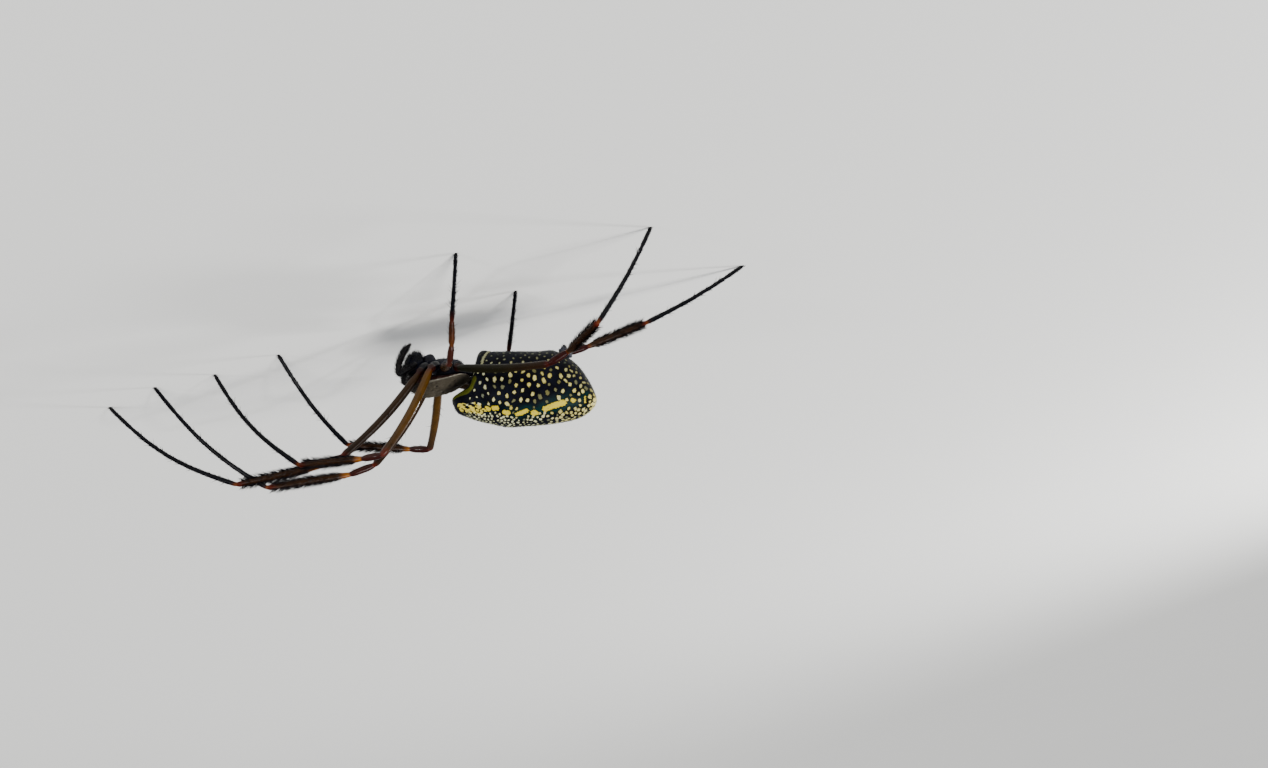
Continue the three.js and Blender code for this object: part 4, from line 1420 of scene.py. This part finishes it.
class AddMouthParts(bpy.types.Operator):
    """Adds the glossy chelicerae with their fangs, and the bristly palps"""

    bl_idname = "spider.add_mouth_parts"
    bl_label = "Mouth parts"

    def execute(self, context):
        gloss, horn = dark_material("chelicera gloss"), dark_material("fang horn")
        palp_skin = dark_material("palp cuticle")
        dark = hair_material("mouth hair", (0.006, 0.005, 0.006), 0.4, shine=0.12)
        draw = np.random.default_rng(skin_sizes().seed + 3)
        for side, sign in SIDES.items():
            self.add_chelicera(side, sign, gloss, dark, draw)
            finish_piece(self.fang_mesh(side, sign), horn)
            self.add_palp(side, sign, palp_skin, dark, draw)
        return {"FINISHED"}

    def add_chelicera(self, side, sign, skin, dark, draw):
        bm = bmesh.new()
        add_lobe(bm, CHELICERA, sign, 0.1)
        mesh = to_mesh(bm, f"chelicera_{side}_skin")
        write_points(mesh, in_model(read_points(mesh)))
        count, heading = COATS["chelicera"]
        root, outward, _ = skin_roots(draw, mesh, count)
        unwrap = np.stack((draw.uniform(size=count), draw.uniform(size=count)), axis=-1)
        roots = (root, outward, np.tile(body_way(heading), (count, 1)), unwrap, {})
        hair = grown(draw, roots, **BRISTLES["chelicera"])
        finish_piece(mesh, skin, [f"chelicera_{side}"])
        finish_piece(coat_mesh(f"chelicera_{side}_hair", hair), dark)

    def fang_mesh(self, side, sign):
        """A curved fang that tapers to its point."""
        turn = Matrix.Rotation(math.radians(FANG["tilt"]), 4, "Y")
        turn = turn @ Matrix.Rotation(math.radians(-sign * FANG["lean"]), 4, "X")
        x, y, z = FANG["root"]
        root = Vector((x, sign * y, z))
        centres, radii = [], []
        for share in np.linspace(0, 1, FANG["rings"]):
            hooked = Vector((0, sign * FANG["hook"] * math.sin(math.pi * share), -FANG["length"] * share))
            centres.append(BODY @ (root + turn @ hooked))
            radii.append(FANG["radius"] * (1 - share) ** 0.75 + 0.012)
        bm = bmesh.new()
        sweep(bm, centres, radii, ROUND["fang"])
        return to_mesh(bm, f"fang_{side}")

    def add_palp(self, side, sign, skin, dark, draw):
        """A palp of four short lengths, bent at its knee, with long hair towards its tip."""
        root, corner, tip = (Vector((x, sign * y, z)) for x, y, z in PALP_PATH)
        first, second = corner - root, tip - corner
        knee, total = first.length, first.length + second.length
        upward = upward_of(second.normalized())
        before, after = corner - first.normalized() * PALP_KNEE, corner + second.normalized() * PALP_KNEE
        centres, along = [], []
        for i in range(PALP_RINGS):
            length = total * i / (PALP_RINGS - 1)
            bend = (length - knee + PALP_KNEE) / (2 * PALP_KNEE)
            past = max(length - knee, 0) / second.length
            place = root + first * min(length / knee, 1) + second * past
            if 0 < bend < 1:
                place = rounded(before, corner, after, bend)
            bulge = math.sin(math.pi * past) * PALP_BOW * second.length
            centres.append(BODY @ (place - upward * bulge))
            along.append(length / total)
        bm = bmesh.new()
        limb = sweep(bm, centres, list(smooth_through(*PALP_PROFILE, np.array(along))), ROUND["palp"], along)
        nodes = [f"palp_{side}_femur", f"palp_{side}_tarsus"]
        finish_piece(to_mesh(bm, f"palp_{side}_skin"), skin, nodes)
        coats = []
        for low, high, count, length, lean in PALP_COAT:
            roots = (*limb_roots(draw, limb, low, high, count)[:-1], {})
            coats.append(grown(draw, roots, length, PALP_HAIR_RADIUS, lean))
        finish_piece(coat_mesh(f"palp_{side}_hair", gathered(coats)), dark)


class AddSpinnerets(bpy.types.Operator):
    """Adds the spinnerets: six haired cones on a low mound"""

    bl_idname = "spider.add_spinnerets"
    bl_label = "Spinnerets"

    def execute(self, context):
        tilt = Matrix.Rotation(math.radians(SPINNERETS["tilt"]), 4, "Y")
        place = BODY @ Matrix.Translation(SPINNERETS["place"]) @ tilt
        bm = bmesh.new()
        add_ball(bm, FACETS["mound"], place @ Matrix.Diagonal((*MOUND_SIZE, 1)))
        draw = np.random.default_rng(skin_sizes().seed + 4)
        shares = np.linspace(0, 1, 26)
        coats = []
        for x, y, radius, length in SPINNERETS["pairs"]:
            for sign in SIDES.values():
                splay = Vector((0.25 * x, sign * 0.12, -1)).normalized()
                centres = [place @ (Vector((x, sign * y, 0)) + splay * length * share) for share in shares]
                radii = radius * smooth_through(*SPINNERETS["profile"], shares)
                limb = sweep(bm, centres, list(radii), ROUND["spinneret"], list(shares))
                roots = (*limb_roots(draw, limb, 0.35, 0.98, SPINNERET_HAIRS)[:-1], {})
                coats.append(grown(draw, roots, **BRISTLES["spinneret"]))
        skin = dark_material("spinneret cuticle")
        finish_piece(to_mesh(bm, "spinnerets_skin"), skin, ["spinnerets"])
        pale = hair_material("spinneret hair", (0.12, 0.11, 0.1), 0.5)
        finish_piece(coat_mesh("spinnerets_hair", gathered(coats)), pale)
        return {"FINISHED"}


# Legs


def upward_of(heading):
    """The direction square to a heading that points up as much as it can."""
    return (Vector((0, 0, 1)) - heading * heading.z).normalized()


def leg_path(pair, side):
    """Centres, radii and along values of a leg, every ring step from the coxa's root to the foot."""
    joints = [ORIGIN + joint for joint in leg_joints(pair, side)]
    lengths = [(end - start).length for start, end in zip(joints[:-1], joints[1:])]
    starts = np.concatenate(([0], np.cumsum(lengths)))
    headings = [(end - start).normalized() for start, end in zip(joints[:-1], joints[1:])]
    arches = {1: FEMUR_ARCH[pair], 4: FOOT_BOW[pair]}
    centres, radii, along = [], [], []
    for s in np.linspace(0, starts[-1], int(starts[-1] / LEG_RING_STEP)):
        segment = min(int(np.searchsorted(starts, s, side="right")) - 1, 4)
        share = (s - starts[segment]) / lengths[segment]
        point = joints[segment] + headings[segment] * (s - starts[segment])
        nearest = int(np.argmin(np.abs(starts - s)))
        if 0 < nearest < 5 and abs(s - starts[nearest]) < JOINT_ROUNDING:
            t = (s - starts[nearest] + JOINT_ROUNDING) / (2 * JOINT_ROUNDING)
            before = joints[nearest] - headings[nearest - 1] * JOINT_ROUNDING
            after = joints[nearest] + headings[nearest] * JOINT_ROUNDING
            point = rounded(before, joints[nearest], after, t)
        if segment in arches:
            rise = arches[segment] * lengths[segment] * math.sin(math.pi * share)
            point = point + upward_of(headings[segment]) * rise
        knots, widths = zip(*LEG_PROFILES[SEGMENTS[segment]])
        width = float(smooth_through(knots, widths, np.array([share]))[0])
        centres.append(point)
        radii.append(width * (LEG_THICKNESS[pair] if 0 < segment < 4 else 1))
        along.append(segment + share)
    return centres, radii, along


def brush_lengths(along, length):
    """Bristles of a brush grow longer towards the foot end of the tibia."""
    return length * np.interp(along - 3, (0.1, 0.3, 0.8, 0.95), (0.55, 0.85, 1.05, 0.8))


class AddLegs(bpy.types.Operator):
    """Adds the eight legs: one skin each from coxa to foot, its bristles and its claws"""

    bl_idname = "spider.add_legs"
    bl_label = "Legs"

    def execute(self, context):
        skins, hairs = {}, {}
        for pair in PAIRS:
            colour = f"leg_{pair}"
            skins[pair] = marked_material(
                f"leg cuticle {pair}", colour, 5200.0, 0.000012, (0.26, 0.42), 0.5,
                Specular_IOR_Level=0.06, Coat_Roughness=0.14,
            )
            hairs[pair] = hair_material(f"leg bristles {pair}", colours().black, 0.3, 0.1, colour, 0.92)
        horn = dark_material("claw horn")
        for side in SIDES:
            for pair in PAIRS:
                self.add_leg(pair, side, skins[pair], hairs[pair], horn)
        return {"FINISHED"}

    def add_leg(self, pair, side, skin, hair, horn):
        name = f"leg_{pair}_{side}"
        centres, radii, along = leg_path(pair, side)
        bm = bmesh.new()
        limb = sweep(bm, centres, radii, ROUND["leg"], along)
        for vert in limb["ring"]:
            vert.co.z = 0
        mesh = to_mesh(bm, f"{name}_skin")
        write_points(mesh, lifted(read_points(mesh), 0))
        finish_piece(mesh, skin, [f"{name}_{segment}" for segment in SEGMENTS])
        bristles = coat_mesh(f"{name}_bristles", self.leg_coat(pair, side, limb))
        write_points(bristles, lifted(read_points(bristles), 0.004))
        finish_piece(bristles, hair)
        finish_piece(self.claw_mesh(f"{name}_claws", limb), horn)

    def leg_coat(self, pair, side, limb):
        """The short coat, the long spines and, on most tibiae, the brush."""
        sizes = coat_sizes()
        draw = np.random.default_rng(skin_sizes().seed + 10 * pair + SIDES[side])
        density = sizes.density * COAT_SHARE[pair]
        coats = []
        for low, high, count, share, radius, lean in SHORT_COAT:
            roots = limb_roots(draw, limb, low, high, int(count * density))
            coats.append(grown(draw, roots, sizes.hair_length / MM * share, radius, lean))
        for low, high, count in SPINES:
            coats.append(grown(draw, limb_roots(draw, limb, low, high, count), **BRISTLES["spine"]))
        if BRUSHES[pair]:
            roots = limb_roots(draw, limb, *BRUSH_SPAN, int(BRUSHES[pair] * density), BRUSH_CREST)
            lengths = brush_lengths(roots[-1]["along"], sizes.brush_length / MM)
            coats.append(grown(draw, roots, lengths, sizes.brush_radius / MM, **BRISTLES["brush"]))
        return gathered(coats)

    def claw_mesh(self, name, limb):
        """Two curved claws and a small one between them, on the floor at the foot's tip."""
        tip, ahead = Vector(limb["centres"][-1]), Vector(limb["headings"][-1])
        level = Vector((ahead.x, ahead.y, 0)).normalized()
        aside = Vector((-level.y, level.x, 0))
        bm = bmesh.new()
        for spread_out, length in CLAWS:
            way = (level + aside * spread_out).normalized()
            root = tip + aside * spread_out * 0.18 + Vector((0, 0, 0.08))
            centres, radii = [], []
            for share in np.linspace(0, 1, 9):
                lift = 0.09 * math.sin(math.pi * share * 0.9) - 0.055 * share
                centres.append(root + way * length * share + Vector((0, 0, lift)))
                radii.append(0.038 * (1 - share) + 0.006)
            sweep(bm, centres, radii, ROUND["claw"])
        return to_mesh(bm, name)


# Studio


class AddStudio(bpy.types.Operator):
    """Adds the pale floor, the soft lights and the camera at the photo's angle"""

    bl_idname = "spider.add_studio"
    bl_label = "Studio"

    def execute(self, context):
        bm = bmesh.new()
        bmesh.ops.create_grid(bm, x_segments=2, y_segments=2, size=FLOOR_HALF_WIDTH)
        floor = self.add_object(context, "floor", to_mesh(bm, "floor"))
        floor.data.materials.append(floor_material())
        self.add_lights(context)
        self.add_camera(context)
        return {"FINISHED"}

    def add_object(self, context, name, data):
        made = bpy.data.objects.new(name, data)
        context.scene.collection.objects.link(made)
        return made

    def add_lights(self, context):
        """A broad even key from above the camera, and small lamps that draw the highlights."""
        sun = bpy.data.lights.new("key", "SUN")
        sun.energy = KEY_STRENGTH
        sun.angle = KEY_WIDTH
        sun.color = KEY_COLOUR
        key = self.add_object(context, "key", sun)
        key.rotation_euler = Vector(KEY_FROM).to_track_quat("Z", "Y").to_euler()
        for name, place, size, power in LAMPS:
            light = bpy.data.lights.new(name, "AREA")
            light.shape = "DISK"
            light.size = size
            light.energy = power
            lamp = self.add_object(context, name, light)
            lamp.location = place
            lamp.visible_camera = False
            lamp.rotation_euler = (Vector(place) - LAMP_AIM).to_track_quat("Z", "Y").to_euler()
        world = bpy.data.worlds.new("studio air")
        world.use_nodes = True
        background = world.node_tree.nodes["Background"]
        background.inputs["Color"].default_value = rgba(AIR_COLOUR)
        background.inputs["Strength"].default_value = AIR_STRENGTH
        context.scene.world = world

    def add_camera(self, context):
        """The camera's roll turns the picture, so that the spider hangs as it does in the photo."""
        camera = bpy.data.cameras.new("photo camera")
        camera.sensor_width = SENSOR_WIDTH
        camera.lens = SENSOR_WIDTH * CAMERA_DISTANCE * PIXELS_PER_MM / PHOTO_WIDTH_PX
        camera.clip_start = 0.01
        camera.clip_end = 20
        holder = self.add_object(context, "photo camera", camera)
        aim = ORIGIN + Vector((0, 0, PEDICEL_HEIGHT)) + Vector(CAMERA_AIM)
        back = Vector((0, -math.cos(CAMERA_ELEVATION), math.sin(CAMERA_ELEVATION)))
        rolled = back.to_track_quat("Z", "Y").to_matrix() @ Matrix.Rotation(CAMERA_ROLL, 3, "Z")
        holder.matrix_world = Matrix.LocRotScale((aim + back * CAMERA_DISTANCE) * MM, rolled, None)
        context.scene.camera = holder


class SpiderPanel(bpy.types.Panel):
    """Lists the spider's pieces and sizes"""

    bl_idname = "SPIDER_PT_pieces"
    bl_label = "Golden silk orb weaver"
    bl_space_type = "VIEW_3D"
    bl_region_type = "UI"
    bl_category = "Spider"

    def draw(self, context):
        for group in (skin_sizes(), coat_sizes(), colours()):
            for name in group.bl_rna.properties.keys():
                if name not in ("rna_type", "name"):
                    self.layout.prop(group, name)
        for piece in PIECES:
            self.layout.operator(piece.bl_idname)


PIECES = (AddStudio, AddAbdomen, AddFrontBody, AddEyes, AddMouthParts, AddSpinnerets, AddLegs)
GROUP_TYPES = {"spider_skin": SpiderSkin, "spider_coat": SpiderCoat, "spider_colours": SpiderColours}


def register():
    for kind in (*GROUP_TYPES.values(), *PIECES, SpiderPanel):
        bpy.utils.register_class(kind)
    for name, kind in GROUP_TYPES.items():
        setattr(bpy.types.Scene, name, bpy.props.PointerProperty(type=kind))


def unregister():
    for name in GROUP_TYPES:
        delattr(bpy.types.Scene, name)
    for kind in reversed((*GROUP_TYPES.values(), *PIECES, SpiderPanel)):
        bpy.utils.unregister_class(kind)


def main():
    """Builds every piece around the frame."""
    register()
    bpy.ops.spider.add_studio()
    bpy.ops.spider.add_abdomen()
    bpy.ops.spider.add_front_body()
    bpy.ops.spider.add_eyes()
    bpy.ops.spider.add_mouth_parts()
    bpy.ops.spider.add_spinnerets()
    bpy.ops.spider.add_legs()


if __name__ == "__main__":
    main()
